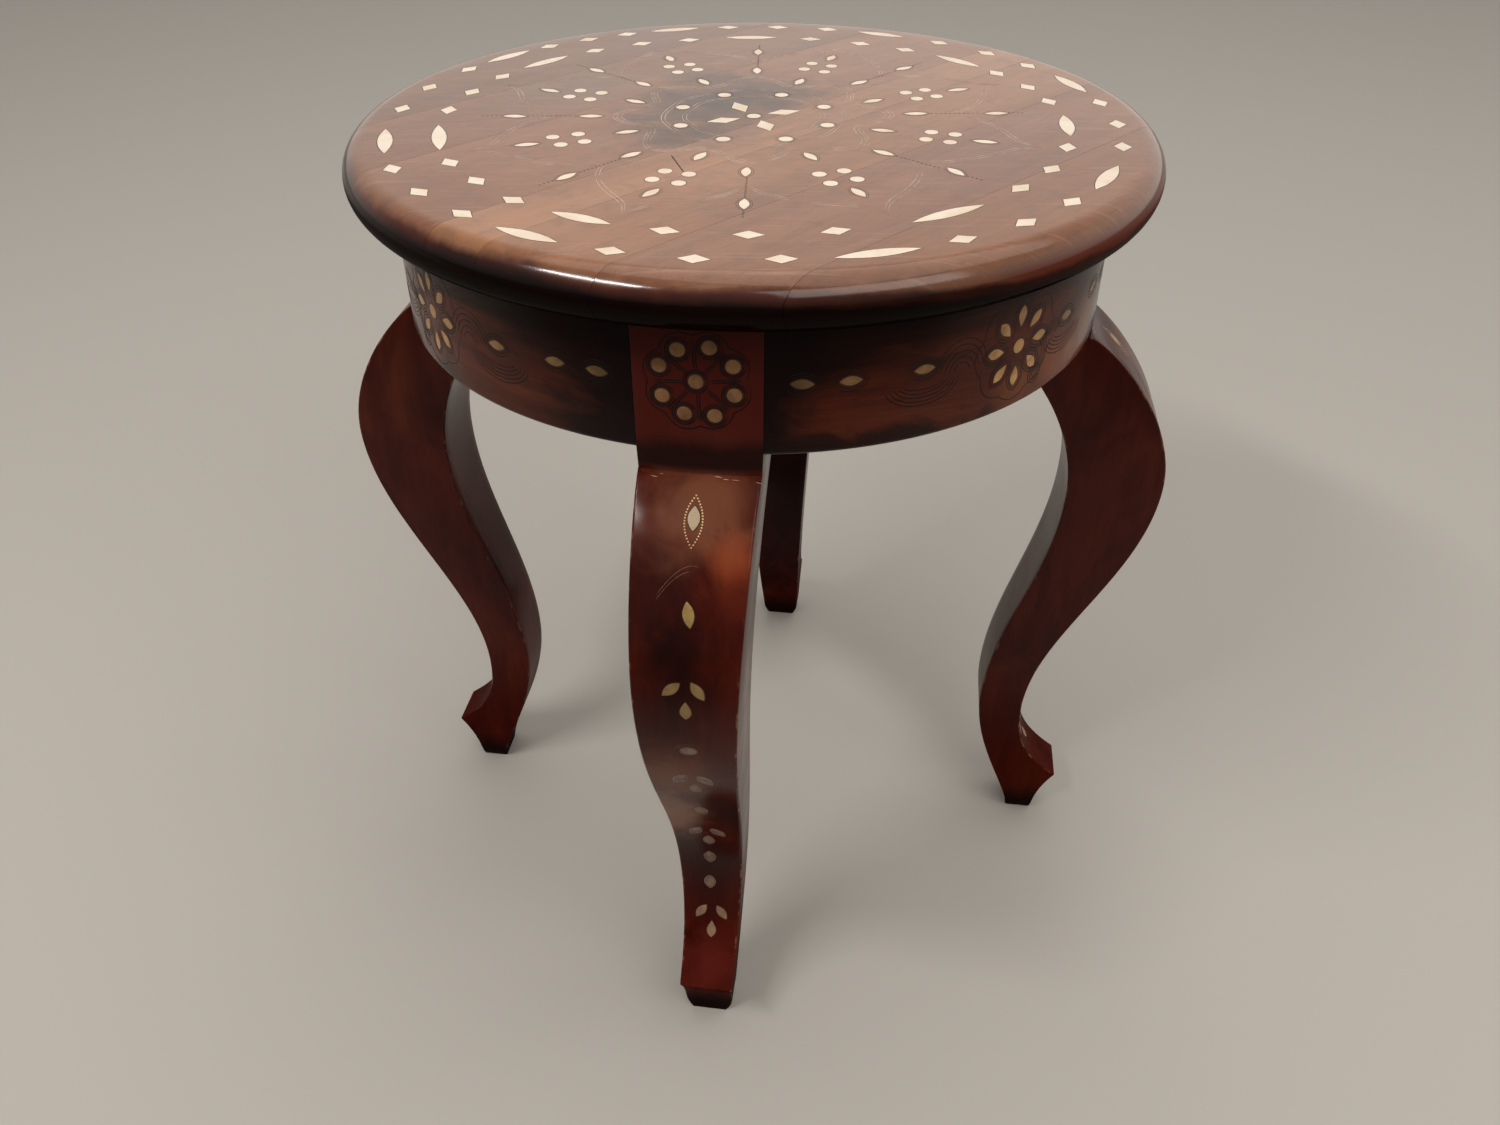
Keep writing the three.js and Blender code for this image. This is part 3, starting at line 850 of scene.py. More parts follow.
# Finish of the legs: spans of height, and the tones there
legLook = {
    "tones": [(0.028, 0.003, 0.0016), (0.052, 0.0056, 0.0027), (0.08, 0.0105, 0.005)],
    "wood": {
        "upright": True,
        "coatRoughness": (0.15, 0.26),
        "coatFade": (0.03, 0.14, 0.1),
        "figure": (14.0, 34.0, 5.0, 0.6, 0.7),
        "streakShare": 0.2,
        "poreDark": 0.2,
    },
    "cloud": (26, 26, 8),
    "kneeFrom": (0.24, 0.3),
    "kneeTo": (0.352, 0.342),
    "kneeRadius": (0.176, 0.196),
    "kneeCloud": (0.45, 0.66, 0.0, 0.8),
    "kneeTone": (0.11, 0.021, 0.008),
    "post": (0.347, 0.352, 0.0, 0.85),
    "postTone": (0.07, 0.009, 0.0055),
    "shadeSwing": 0.016,
    "shade": (0.374, 0.364),
    "shadeTone": (0.007, 0.0022, 0.0018),
    "footSwing": 0.02,
    "foot": (0.026, 0.006, 0.0, 0.92),
    "footTone": (0.006, 0.003, 0.0025),
    "broken": (95.0, 4.0, 0.65),
    "rubbed": (0.52, 0.66, 0.0, 0.75),
    "rubbedTone": (0.3, 0.13, 0.065),
}


def legTint(place, base):
    k = legLook
    height = split(place["Object"])[2]
    cloud = noise(placed(place["Object"], 0, k["cloud"]), 1.0, 4.0, 0.55, 0.5)
    # Rubbed orange-brown on the knee
    knee = times(spread(height, *k["kneeFrom"]), spread(height, *k["kneeTo"]))
    knee = times(knee, spread(away(place["Object"], (1, 1, 0)), *k["kneeRadius"]))
    base = blend(times(knee, spread(cloud, *k["kneeCloud"])), base, k["kneeTone"])
    # The post is redder, and painted nearly black as shade at its lower end
    post = spread(height, *k["post"])
    base = blend(post, base, k["postTone"])
    shade = spread(plus(height, times(cloud, k["shadeSwing"])), *k["shade"])
    base = blend(times(shade, post), base, k["shadeTone"])
    # Dirt and wear at the foot
    base = blend(spread(plus(height, swing(cloud, k["footSwing"])), *k["foot"]), base, k["footTone"])
    # Rubbed arrises
    wear = addNode("ShaderNodeAttribute", {}, base.id_data, attribute_name="wear")["Fac"]
    broken = spread(noise(place["Object"], *k["broken"]), *k["rubbed"])
    return blend(times(wear, broken), base, k["rubbedTone"])


# Where hands and feet have rubbed the front leg and where its stain lies thick; on the front leg also a
# painted reflection on the knee top and down the shin, and painted shade on the back leg's inner face
legStainsAndPaintedLight = {
    "front": [
        ((-13, -204, 312), 22, (0.024, 0.005, 0.004), 0.7, 1.6),
        ((-1, -216, 280), 19, (0.009, 0.002, 0.0015), 0.85, 2.4),
        ((16, -196, 327), 12, (0.28, 0.05, 0.014), 0.8, 1.5),
        ((18, -205, 313), 11, (0.12, 0.016, 0.006), 0.5, 1.8),
        ((19, -219, 262), 9, (0.05, 0.0055, 0.003), 0.6, 3.4),
        # Painted reflection: the pale haze on the knee top
        ((3, -181, 343), 30, (0.185, 0.062, 0.03), 0.8),
        # Painted reflection down the shin: two pale patches and the dark streak beside them
        ((-8, -206, 213), 22, (0.19, 0.066, 0.034), 0.7, 1.5),
        ((-14, -186, 168), 21, (0.28, 0.12, 0.066), 0.75, 2.3),
        ((15, -190, 176), 15, (0.011, 0.0018, 0.0014), 0.85, 2.4),
        ((0, -171, 108), 34, (0.017, 0.0027, 0.002), 0.6),
        ((0, -190, 48), 20, (0.09, 0.0105, 0.0075), 0.8),
    ],
    # Painted shade on the back leg's inner face, which the seat shades from above
    "back": [((0, 140, 170), 80, (0.008, 0.002, 0.0015), 0.8, 2.5)],
}


def makeLegs():
    points, wear = legPoints()
    faces = tubeFaces(*points.shape[:2], capped=True)
    for index, (name, angle) in enumerate(legAngles.items()):
        steps = [*[stainOrPaintedLight(*row) for row in legStainsAndPaintedLight.get(name, [])], legTint]
        look = {"shift": (index * 2.3, index * 4.1, index * 1.7), "steps": steps, **legLook["wood"]}
        material = woodMaterial(f"legWood{index + 1}", *legLook["tones"], **look)
        piece, node = f"leg{label(name)}", f"leg_{name}"
        makePiece(piece, turnAbout(points, angle), faces, material, [node], wear=wear, sharp=32)


makeLegs()
print("legs made")

# Outlines of inlaid pieces, as points round their own middle


def leafOutline(length, width, steps=10):
    # Two shallow arcs that meet in points: the half width falls off with the square of the way out.
    x = np.linspace(-length / 2, length / 2, steps + 1)
    y = width / 2 * (1 - (2 * x / length) ** 2)
    return np.concatenate([stacked(x[:-1], -y[:-1]), stacked(x[:0:-1], y[:0:-1])])


def diamondOutline(length, width, steps=3):
    corners = np.array([(length / 2, 0), (0, width / 2), (-length / 2, 0), (0, -width / 2)])
    share = np.linspace(0, 1, steps, endpoint=False)[:, None]
    return np.concatenate([corners[k] + (corners[(k + 1) % 4] - corners[k]) * share for k in range(4)])


def dotOutline(radius, steps=18):
    return circle(radius, np.linspace(0, 2 * math.pi, steps, endpoint=False))


def tearOutline(length, width, steps=8):
    # A leaf that is wider towards one end.
    shape = leafOutline(length, width, steps)
    return stacked(shape[:, 0], shape[:, 1] * (1 + 0.35 * (2 * shape[:, 0] / length)))


def grown(outline, margin):
    # Every point moved out along the outline's own normal.
    along = np.roll(outline, -1, axis=0) - np.roll(outline, 1, axis=0)
    length = np.hypot(along[:, 0], along[:, 1])
    return outline + margin * stacked(along[:, 1] / length, -along[:, 0] / length)


def offsetOutline(outline, margin, place):
    # A closed outline as a path round a place (a, b, turn).
    shape = grown(outline, margin)
    return turned(np.concatenate([shape, shape[:1]]), place[2]) + place[:2]


# Inlay and engraving: depths and heights in millimetres, the rest as shares
inlayLook = {
    "depth": 0.5,
    "proud": 0.09,
    "bedMargin": 0.3,
    "bedProud": 0.035,
    "shrink": [1.0, 1.0, 0.95, 0.5],
    "rise": [0.4, 1.0, 1.12],
    "middleRise": 1.15,
    "sharp": 25,
}
lineLook = {
    # The section of a line: shares of its width, and the depths of its edges and of its middle
    "across": [-0.5, -0.3, 0.3, 0.5, 0.0],
    "depths": (-0.1, -0.15),
    "taper": 14,
    "thinnest": 0.12,
    "sharp": 60,
}


def inlayPoints(outline, places, surface, proud):
    # The outline shrunk in rings towards its middle, set at each place (a, b, degrees) on the surface.
    places = np.asarray(places, float)
    depth, rise = inlayLook["depth"], np.array(inlayLook["rise"])
    # A fourth number, where there is one, stretches that piece along itself
    longer = places[:, 3:4] if places.shape[1] > 3 else 1.0
    shape = turned(stacked(outline[:, 0] * longer, outline[:, 1]), places[:, 2:3])
    rings = shape[:, None] * np.array(inlayLook["shrink"])[:, None, None] + places[:, None, None, :2]
    height = np.array([-depth, *(proud * rise)])[:, None]
    ringPoints = surface(rings[..., 0], rings[..., 1], height)
    middles = surface(places[:, :1], places[:, 1:2], np.array([-depth, proud * inlayLook["middleRise"]]))
    count, m, rows = len(places), len(outline), len(height)
    points = np.concatenate([ringPoints.reshape(count, rows * m, 3), middles], axis=1)
    one = tubeFaces(rows, m), fanFaces(m, 0, rows * m), fanFaces(m, (rows - 1) * m, rows * m + 1)
    starts = np.arange(count) * (rows * m + 2)
    faces = [face for start in starts for part in one for face in (np.array(part) + start).tolist()]
    return points.reshape(-1, 3), faces


def makeInlay(name, sets, material, nodes=(), proud=inlayLook["proud"]):
    # sets: (outline, places, surface); all of them go into one piece.
    allPoints, allFaces, start = [], [], 0
    for outline, places, surface in sets:
        points, faces = inlayPoints(outline, places, surface, proud)
        allPoints.append(points)
        allFaces += [[k + start for k in face] for face in faces]
        start += len(points)
    makePiece(name, np.concatenate(allPoints), allFaces, material, nodes, sharp=inlayLook["sharp"])


def makeBeds(name, sets, margin=inlayLook["bedMargin"]):
    # The dark line of glue round each inlaid piece
    wider = [(grown(outline, margin), places, surface) for outline, places, surface in sets]
    makeInlay(name, wider, lines["glueLine"], proud=inlayLook["bedProud"])


def linePoints(path, surface, width, height):
    # A shallow ridged section carried along a path on a surface, tapering to both ends.
    along = np.gradient(path, axis=0)
    length = np.hypot(along[:, 0], along[:, 1])[:, None]
    share = np.linspace(0, 1, len(path))
    taper = np.clip(np.minimum(share, 1 - share) * lineLook["taper"], lineLook["thinnest"], 1)[:, None]
    across = np.array(lineLook["across"]) * width * taper
    edge, middle = lineLook["depths"]
    a = path[:, :1] - along[:, 1:] / length * across
    b = path[:, 1:] + along[:, :1] / length * across
    return surface(a, b, np.array([edge, height, height, edge, middle]))


def makeLines(name, paths, surface, material, slot, width, height=0.03):
    allPoints, faces, start = [], [], 0
    for path in paths:
        points = linePoints(path, surface, width, height)
        faces += tubeFaces(*points.shape[:2], start, capped=True)
        allPoints.append(points.reshape(-1, 3))
        start += len(allPoints[-1])
    makePiece(name, np.concatenate(allPoints), faces, material, sharp=lineLook["sharp"])


# Inlay of the seat, laid by hand: the angles are a little uneven
seatInlay = {
    "leafSize": (32.0, 6.7),
    "outerLengths": [33, 32, 28, 29, 31, 35, 30, 34],
    "innerLengths": [31, 31, 29, 32, 36, 28, 36],
    "outerRadius": 169.5,
    "outerAngles": [-22, 26, 72, 113, 149, 200, 247, 293],
    "outerShares": [0.265, 0.5, 0.735],
    "outerDrift": [0.03, 0, 0, 0, -0.06, 0.01, 0, 0],
    "innerRadius": 145.7,
    "innerAngles": [2, 49, 98, 147, 200, 250, 309],
    "innerShares": [0.28, 0.5, 0.725],
    "innerDrift": [0.03, 0, 0.01, -0.03, 0, -0.05, 0.04],
    "ringDiamond": (12.5, 8.0),
    "middleDiamond": (16.5, 8.5),
    "middleAngles": [30, 123, 212, 298],
    "middleRadius": 15.5,
    "middleTurn": -6,
    "dotRadius": 3.3,
    "dotRing": 36.8,
    "dotStart": -14.5,
    "flowerAngles": [30.4, 75.3, 121.6, 165.3, 209.8, 255.0, 300.3, 347.6],
    "flowerRadius": 90.0,
    "flowerSpacing": 11.5,
    "flowerDot": 3.15,
    "flowerLeaves": [62.5, 110],
    "rayAngles": [10.0, 53.5, 96.0, 144.0, 187.5, 234.0, 275.5, 325.0],
    "rayLeaves": [77, 114],
    "smallLeaf": (11.5, 4.3),
    # How far by hand: along in millimetres, and turned in degrees
    "diamondUneven": (0.4, 4),
    "dotUneven": (0.3, 0),
    "leafUneven": (0.4, 6),
    "seed": 11,
}


def ringPlaces(radius, angles, across=True):
    angles = np.asarray(angles, float)
    return np.column_stack([polar(radius, angles), angles + (90 if across else 0)])


def between(angles, shares, drift):
    # Places at the given shares of each gap, every gap shifted by its own drift.
    first = np.asarray(angles, float)
    after = np.append(first[1:], first[0] + 360)
    return (first[:, None] + (after - first)[:, None] * (np.array(shares) + np.array(drift)[:, None])).ravel()


def uneven(places, rng, shift, turn):
    return places + rng.normal(0, 1, places.shape) * [shift, shift, turn]


def seatInlaySets():
    s = seatInlay
    rng = np.random.default_rng(s["seed"])
    leaf, small = leafOutline(*s["leafSize"], 16), leafOutline(*s["smallLeaf"], 8)
    diamond, middleDiamond = diamondOutline(*s["ringDiamond"]), diamondOutline(*s["middleDiamond"])
    dot, flowerDot = dotOutline(s["dotRadius"], 20), dotOutline(s["flowerDot"])

    def leaves(ring):
        places = ringPlaces(s[f"{ring}Radius"], s[f"{ring}Angles"])
        return np.column_stack([places, np.array(s[f"{ring}Lengths"]) / s["leafSize"][0]])

    def diamonds(ring):
        angles = between(s[f"{ring}Angles"], s[f"{ring}Shares"], s[f"{ring}Drift"])
        return uneven(ringPlaces(s[f"{ring}Radius"], angles), rng, *s["diamondUneven"])

    def along(kind):
        rings = [ringPlaces(radius, s[f"{kind}Angles"], False) for radius in s[f"{kind}Leaves"]]
        return uneven(np.concatenate(rings), rng, *s["leafUneven"])

    half = s["flowerSpacing"] / 2
    four = np.array([(s["flowerRadius"] + out * half, aside * half) for out in (-1, 1) for aside in (-1, 1)])
    flowers = np.concatenate([np.column_stack([turned(four, k), [k] * 4]) for k in s["flowerAngles"]])
    middles = ringPlaces(s["middleRadius"], s["middleAngles"], False) + [0, 0, s["middleTurn"]]
    ring = ringPlaces(s["dotRing"], s["dotStart"] + 45 * np.arange(8))
    sets = {
        "boneOuterLeaves": (leaf, leaves("outer")),
        "boneInnerLeaves": (leaf, leaves("inner")),
        "boneOuterDiamonds": (diamond, diamonds("outer")),
        "boneInnerDiamonds": (diamond, diamonds("inner")),
        "boneMiddleDiamonds": (middleDiamond, middles),
        "boneMiddleDots": (dot, np.concatenate([[[0, 0, 0]], ring])),
        "boneFlowerDots": (flowerDot, uneven(flowers, rng, *s["dotUneven"])),
        "boneFlowerLeaves": (small, along("flower")),
        "boneRayLeaves": (small, along("ray")),
    }
    return {name: (outline, places, onSeat) for name, (outline, places) in sets.items()}


def makeSeatInlay():
    sets = seatInlaySets()
    nodes = {
        "boneOuterLeaves": [f"bone_leaf_outer_{k}" for k in range(1, 9)],
        "boneInnerLeaves": [f"bone_leaf_inner_{k}" for k in range(1, 8)],
        "boneMiddleDiamonds": [f"bone_diamond_{k}" for k in range(1, 5)],
        "boneMiddleDots": ["bone_dot_centre", *[f"bone_dot_middle_{k}" for k in range(1, 9)]],
    }
    for name, one in sets.items():
        makeInlay(name, [one], bone, nodes.get(name, ()))
    makeBeds("seatGlueLines", list(sets.values()))


makeSeatInlay()
print("seat inlay made")

# Engraving of the seat: lotus petals from ray to flower, a wave inside them, rings round the middle
seatLook = {
    "lean": 22,
    "petalRadius": 92,
    "petalInsets": [0.0, 2.4],
    "petalBulge": (35, 0.62),
    "petalFlick": (9, 14),
    "waveRadius": 66.5,
    "waveDip": 6.5,
    "waveInsets": [0.0, 1.7, 4.0],
    "rings": [31.3, 33.2, 41.4, 43.2],
    "ringWave": 0.5,
    "halo": 1.2,
    "lineWidth": 0.45,
    "haloWidth": 0.28,
    "prickSpacing": 2.2,
    "pricks": [(84.5, 107), (121.5, 129)],
    "prickRadius": 0.5,
    "prickProud": 0.03,
}


def seatLines():
    s = seatLook
    paths = []
    rays = np.array(seatInlay["rayAngles"])
    f = np.linspace(0, 1, 40)
    # The petal bulges out from the ray, then flicks to the point
    (bulge, early), (flick, late) = s["petalBulge"], s["petalFlick"]
    rise = bulge * f**early + flick * f**late
    dip = s["waveDip"] * (1 - np.cos(math.pi * f))
    for axis in seatInlay["flowerAngles"]:
        for lean in (s["lean"], -s["lean"]):
            ray = rays[np.argmin(np.abs((rays - axis + 180) % 360 - 180 + lean))]
            angle = ray + ((axis - ray + 180) % 360 - 180) * f
            paths += [polar(s["petalRadius"] + rise - inset, angle) for inset in s["petalInsets"]]
            paths += [polar(s["waveRadius"] - dip - inset, angle) for inset in s["waveInsets"]]
    turn = np.linspace(0, 360, 160)
    paths += [polar(radius + s["ringWave"] * np.sin(np.radians(turn * 8)), turn) for radius in s["rings"]]
    return paths


def makeSeatLines():
    s = seatLook
    makeLines("seatEngraving", seatLines(), onSeat, lines["engravedPale"], "seat_wood", s["lineWidth"])
    sets = seatInlaySets()
    halos = []
    for name in ("boneFlowerLeaves", "boneRayLeaves", "boneMiddleDots"):
        outline, places, _ = sets[name]
        halos += [offsetOutline(outline, s["halo"], place[:3]) for place in places]
    makeLines("seatHalos", halos, onSeat, lines["engravedDark"], "seat_wood_dark", s["haloWidth"])
    radii = np.concatenate([np.arange(*span, s["prickSpacing"]) for span in s["pricks"]])
    dots = [ringPlaces(radii, 0 * radii + angle, False) for angle in seatInlay["rayAngles"]]
    pricks = [(dotOutline(s["prickRadius"], 6), np.concatenate(dots), onSeat)]
    makeInlay("seatPricks", pricks, lines["engravedDark"], proud=s["prickProud"])


scratches = {
    "count": 46,
    "seed": 17,
    "reach": 172,
    "angles": (-170, 10),
    "headings": (20, 55),  # middle and spread
    "lengths": (6, 42),
    "bend": 0.5,
    "width": 0.17,
    "deep": [(-28.6, -59.8), (-24.5, -69.0), (-18.7, -81.9)],
    "deepWidth": 0.9,
    "height": 0.02,
}


def makeScratches():
    # Long shallow ones across the seat at all angles, each a slightly bent line, and one deep one.
    s = scratches
    rng = np.random.default_rng(s["seed"])
    paths = []
    f = np.linspace(-0.5, 0.5, 10)
    for _ in range(s["count"]):
        middle = polar(s["reach"] * math.sqrt(rng.uniform(0, 0.9)), rng.uniform(*s["angles"]))
        heading, length = rng.normal(*s["headings"]), rng.uniform(*s["lengths"])
        bend = rng.normal(0, s["bend"])
        paths.append(middle + turned(stacked(f * length, bend * 4 * f**2), heading))
    makeLines("seatScratches", paths, onSeat, lines["scratchPale"], "seat_wood", s["width"], s["height"])
    deep, look = [bezier(s["deep"], 12)], (s["deepWidth"], s["height"])
    makeLines("seatDeepScratch", deep, onSeat, lines["engravedDark"], "seat_wood_dark", *look)


makeSeatLines()
makeScratches()
print("seat engraving made")

# Inlay and engraving of the apron and the posts, in millimetres round the flower's or the post's middle
apronInlay = {
    "flowerHeight": 386.3,
    "flowerShift": 2.4,
    "flowerDot": 3.2,
    "petal": (9.2, 4.5),
    "petalRadius": 13.6,
    "leafDegrees": [13.8, 20.3, 30.8],
    "leafRise": [3.6, 3.0, 1.8],
    "leaf": (9.4, 4.0),
    # How far by hand: up or along in millimetres, and turned in degrees
    "petalUneven": (0.3, 4),
    "leafUneven": (0.8, 3),
    "seed": 5,
    "bedMargin": 0.55,
    "petalHalos": (1.6, 2.7),
    "leafHalos": (1.5, 2.8),
    "lineWidth": 0.66,
    # Ripples under the leaves nearest the flower: half widths and depths
    "ripples": [(9, 3.0), (11, 4.8), (13, 6.6), (15, 8.4), (17, 10.2)],
    "rippleDrop": 6.0,
    "scallop": (22.5, 2.2),
    "scallopSpan": (-27, 26),
    "scrollShares": [0.3, 0.47, 0.64, 0.81, 0.98],
    "scrollTall": 1.15,
    "scrollFrom": 4.7,
    "scrollTo": 18,
    "scrollDrop": 3,
    "curl": (14, -17.5),
    "curlRadii": [1.6, 3.0, 4.4],
    "lastPetal": (10.5, -8),
    "arcRadii": [6.8, 8.6, 10.4],
    "arcSpan": (-1.1, 1.2),
}
postInlay = {
    "height": 390.0,
    "ring": 15.6,
    "dotRadius": 3.0,
    "start": 26,
    "halos": [1.1, 2.0],
    "spoke": (5.2, 17.5),
    "spokeHalf": 0.5,
    "scallop": (19.5, 2.4),
    "lineWidth": 0.8,
    "bedMargin": 0.6,
    "uneven": (0.35, 0),
    "seed": 9,
}


def ripplePaths(a, b, spans, sign):
    # Nested half ellipses, as a graver leaves them, opening up or down.
    t = np.linspace(0.12, math.pi - 0.12, 26)
    return [stacked(a + w * np.cos(t), b + sign * h * np.sin(t)) for w, h in spans]


def scalloped(radius, bulge, start=0.0):
    # A ring of eight lobes: its angles, and the radius at each.
    t = np.linspace(0, 2 * math.pi, 120)
    return t, radius + bulge * np.abs(np.cos(4 * (t - math.radians(start))))


def railPaths(petals, leaves, shift):
    s = apronInlay
    z, outline = s["flowerHeight"], leafOutline(*s["petal"])
    paths = [offsetOutline(outline, margin, place) for place in petals for margin in s["petalHalos"]]
    outline = leafOutline(*s["leaf"])
    paths += [offsetOutline(outline, margin, place) for place in leaves for margin in s["leafHalos"]]
    inner = (leaves[2], leaves[5])
    for a, b, _ in inner:
        paths += ripplePaths(a, b - s["rippleDrop"], s["ripples"], -1)
    t, lobes = scalloped(*s["scallop"])
    paths.append(stacked(shift + lobes * np.cos(t), z + np.clip(lobes * np.sin(t), *s["scallopSpan"])))
    # Scrolls between the flower and the leaves beside it
    for a, _, _ in inner:
        side = math.copysign(1, a)
        near, far = a - side * s["scrollFrom"], shift + side * s["scrollTo"]
        half = abs(near - far) / 2
        spans = [(half * k, half * k * s["scrollTall"]) for k in s["scrollShares"]]
        paths += ripplePaths((near + far) / 2, z - s["scrollDrop"], spans, 1)
    # A curl under the last petal, and arcs round that petal
    outward = math.copysign(1, shift)
    curl = [shift + outward * s["curl"][0], z + s["curl"][1]]
    paths += [circle(radius, t, *curl) for radius in s["curlRadii"]]
    arc = np.linspace(*s["arcSpan"], 40)
    arcs = [circle(radius, arc, *s["lastPetal"]) for radius in s["arcRadii"]]
    return paths + [path * [outward, 1] + [shift, z] for path in arcs]


def makeApronInlay():
    s = apronInlay
    z = s["flowerHeight"]
    rng = np.random.default_rng(s["seed"])
    perDegree = math.radians(1) * size["apronRadius"]
    (riseUneven, turnUneven), black = s["leafUneven"], lines["engravedBlack"]
    for name, angle in railAngles.items():
        surface = onApron(angle + 45.0)
        # The flowers of the two front rails both lean away from the front post
        shift = s["flowerShift"] * (1 if name.endswith("right") else -1) * perDegree
        petals = ringPlaces(s["petalRadius"], 45 * np.arange(8), False) + [shift, z, 0]
        leaves = []
        for side in (-1, 1):
            for degree, rise in zip(s["leafDegrees"], s["leafRise"]):
                a = side * (45 - degree) * perDegree
                leaves.append([a, z + rise + rng.normal(0, riseUneven), rng.normal(0, turnUneven)])
        sets = [
            (tearOutline(*s["petal"]), uneven(petals, rng, *s["petalUneven"]), surface),
            (leafOutline(*s["leaf"]), leaves, surface),
            (dotOutline(s["flowerDot"]), [[shift, z, 0.0]], surface),
        ]
        part, paths = label(name), railPaths(petals, leaves, shift)
        makeInlay(f"brassRail{part}", sets, brass["Rail"])
        makeBeds(f"railGlueLines{part}", sets, s["bedMargin"])
        makeLines(f"railEngraving{part}", paths, surface, black, "apron_wood", s["lineWidth"])


def makePostInlay():
    s = postInlay
    middle = [0, s["height"]]
    rng = np.random.default_rng(s["seed"])
    dot = dotOutline(s["dotRadius"], 20)
    ring = polar(s["ring"], s["start"] + 45 * np.arange(8)) + middle
    dots = np.column_stack([np.concatenate([[middle], ring]), np.zeros(9)])
    t, lobes = scalloped(*s["scallop"], s["start"])
    sides = [stacked(np.linspace(*s["spoke"], 12), aside) for aside in (-s["spokeHalf"], s["spokeHalf"])]
    spokes = [turned(side, s["start"] + 22.5 + 45 * k) for k in range(8) for side in sides]
    for name, angle in legAngles.items():
        surface = onApron(angle)
        places = uneven(dots, rng, *s["uneven"])
        sets = [(dot, places, surface)]
        part = label(name)
        makeInlay(f"brassPost{part}", sets, brass["Post"])
        makeBeds(f"postGlueLines{part}", sets, s["bedMargin"])
        paths = [offsetOutline(dot, margin, place) for place in places for margin in s["halos"]]
        paths += [path + middle for path in [*spokes, circle(lobes, t)]]
        makeLines(f"postEngraving{part}", paths, surface, lines["engravedBlack"], "leg_wood", s["lineWidth"])


makeApronInlay()
makePostInlay()
print("apron and post inlay made")

# Inlay of the leg's outer face: lengths down from the crease, then length and width
legInlay = {
    "boneLeaf": (19.0, 10.5, 5.0),
    "lens": (20.2, 21.6, 7.4),
    "singles": [(58.2, 11.2, 4.8), (200.5, 10.5, 5.2), (262.0, 10.0, 5.2), (284.5, 9.5, 4.8)],
    "oval": (129.0, 7.0, 4.6),
    # Two leaves that spread from a tear: the places down, the shapes, and how each lies
    "sprouts": [87.0, 152.0, 228.0, 302.0],
    "sproutLeaf": (10.0, 4.6),
    "sproutTear": (9.6, 4.8),
    "leafPlace": (5.6, 4.5, 35),
    "tearPlace": (0.4, 15.2),
    "uneven": (0.4, 4),
    "ovalUneven": 5,
    "seed": 3,
    # Down to which length each finish of brass goes
    "finishes": [("Knee", 80.0), ("Shin", 120.0), ("Worn", 290.0), ("Foot", 400.0)],
    "bedMargin": 0.4,
    "wireRadius": 0.4,
    "rims": (0.45, 0.36, 0.05),
    "ovalHalos": [2.0, 2.9],
    "lineWidth": 0.4,
    # The engraved arch: its span across, its top, then its width, fall and steepness
    "archSpan": (-12.7, 4.1),
    "archTop": (1.5, 38.2),
    "archFall": (14.2, 12.8, 1.8),
    "archInside": (-0.4, 2.4),
}


def legPieces(rng):
    # Outlines of the brass pieces, each with its place.
    s = legInlay
    shift, turn = s["uneven"]
    pieces = []
    for down, length, width in s["singles"]:
        place = [rng.normal(0, shift), down, 90 + rng.normal(0, turn)]
        pieces.append((leafOutline(length, width, 12), place))
    down, length, width = s["oval"]
    pieces.append((dotOutline(0.5) * [length, width], [0.5, down, rng.normal(0, s["ovalUneven"])]))
    (aside, below, lean), (tearAside, tearBelow) = s["leafPlace"], s["tearPlace"]
    for top in s["sprouts"]:
        for side in (-1, 1):
            place = [side * aside, top + below, 90 - side * lean + rng.normal(0, turn)]
            pieces.append((leafOutline(*s["sproutLeaf"]), place))
        pieces.append((tearOutline(*s["sproutTear"]), [tearAside, top + tearBelow, 90.0]))
    return pieces


def legPaths():
    # An engraved arch that rises from one side, turns over its top near the middle and stops; an oval.
    s = legInlay
    (topA, topB), (wide, fall, steep) = s["archTop"], s["archFall"]
    across = np.linspace(*s["archSpan"], 40)
    arch = stacked(across, topB + fall * (np.abs(topA - across) / wide) ** steep)
    down, length, width = s["oval"]
    oval = dotOutline(0.5, 24) * [length, width]
    halos = [offsetOutline(oval, margin, (0.5, down, 0.0)) for margin in s["ovalHalos"]]
    return [arch, arch[:32] + s["archInside"], *halos]


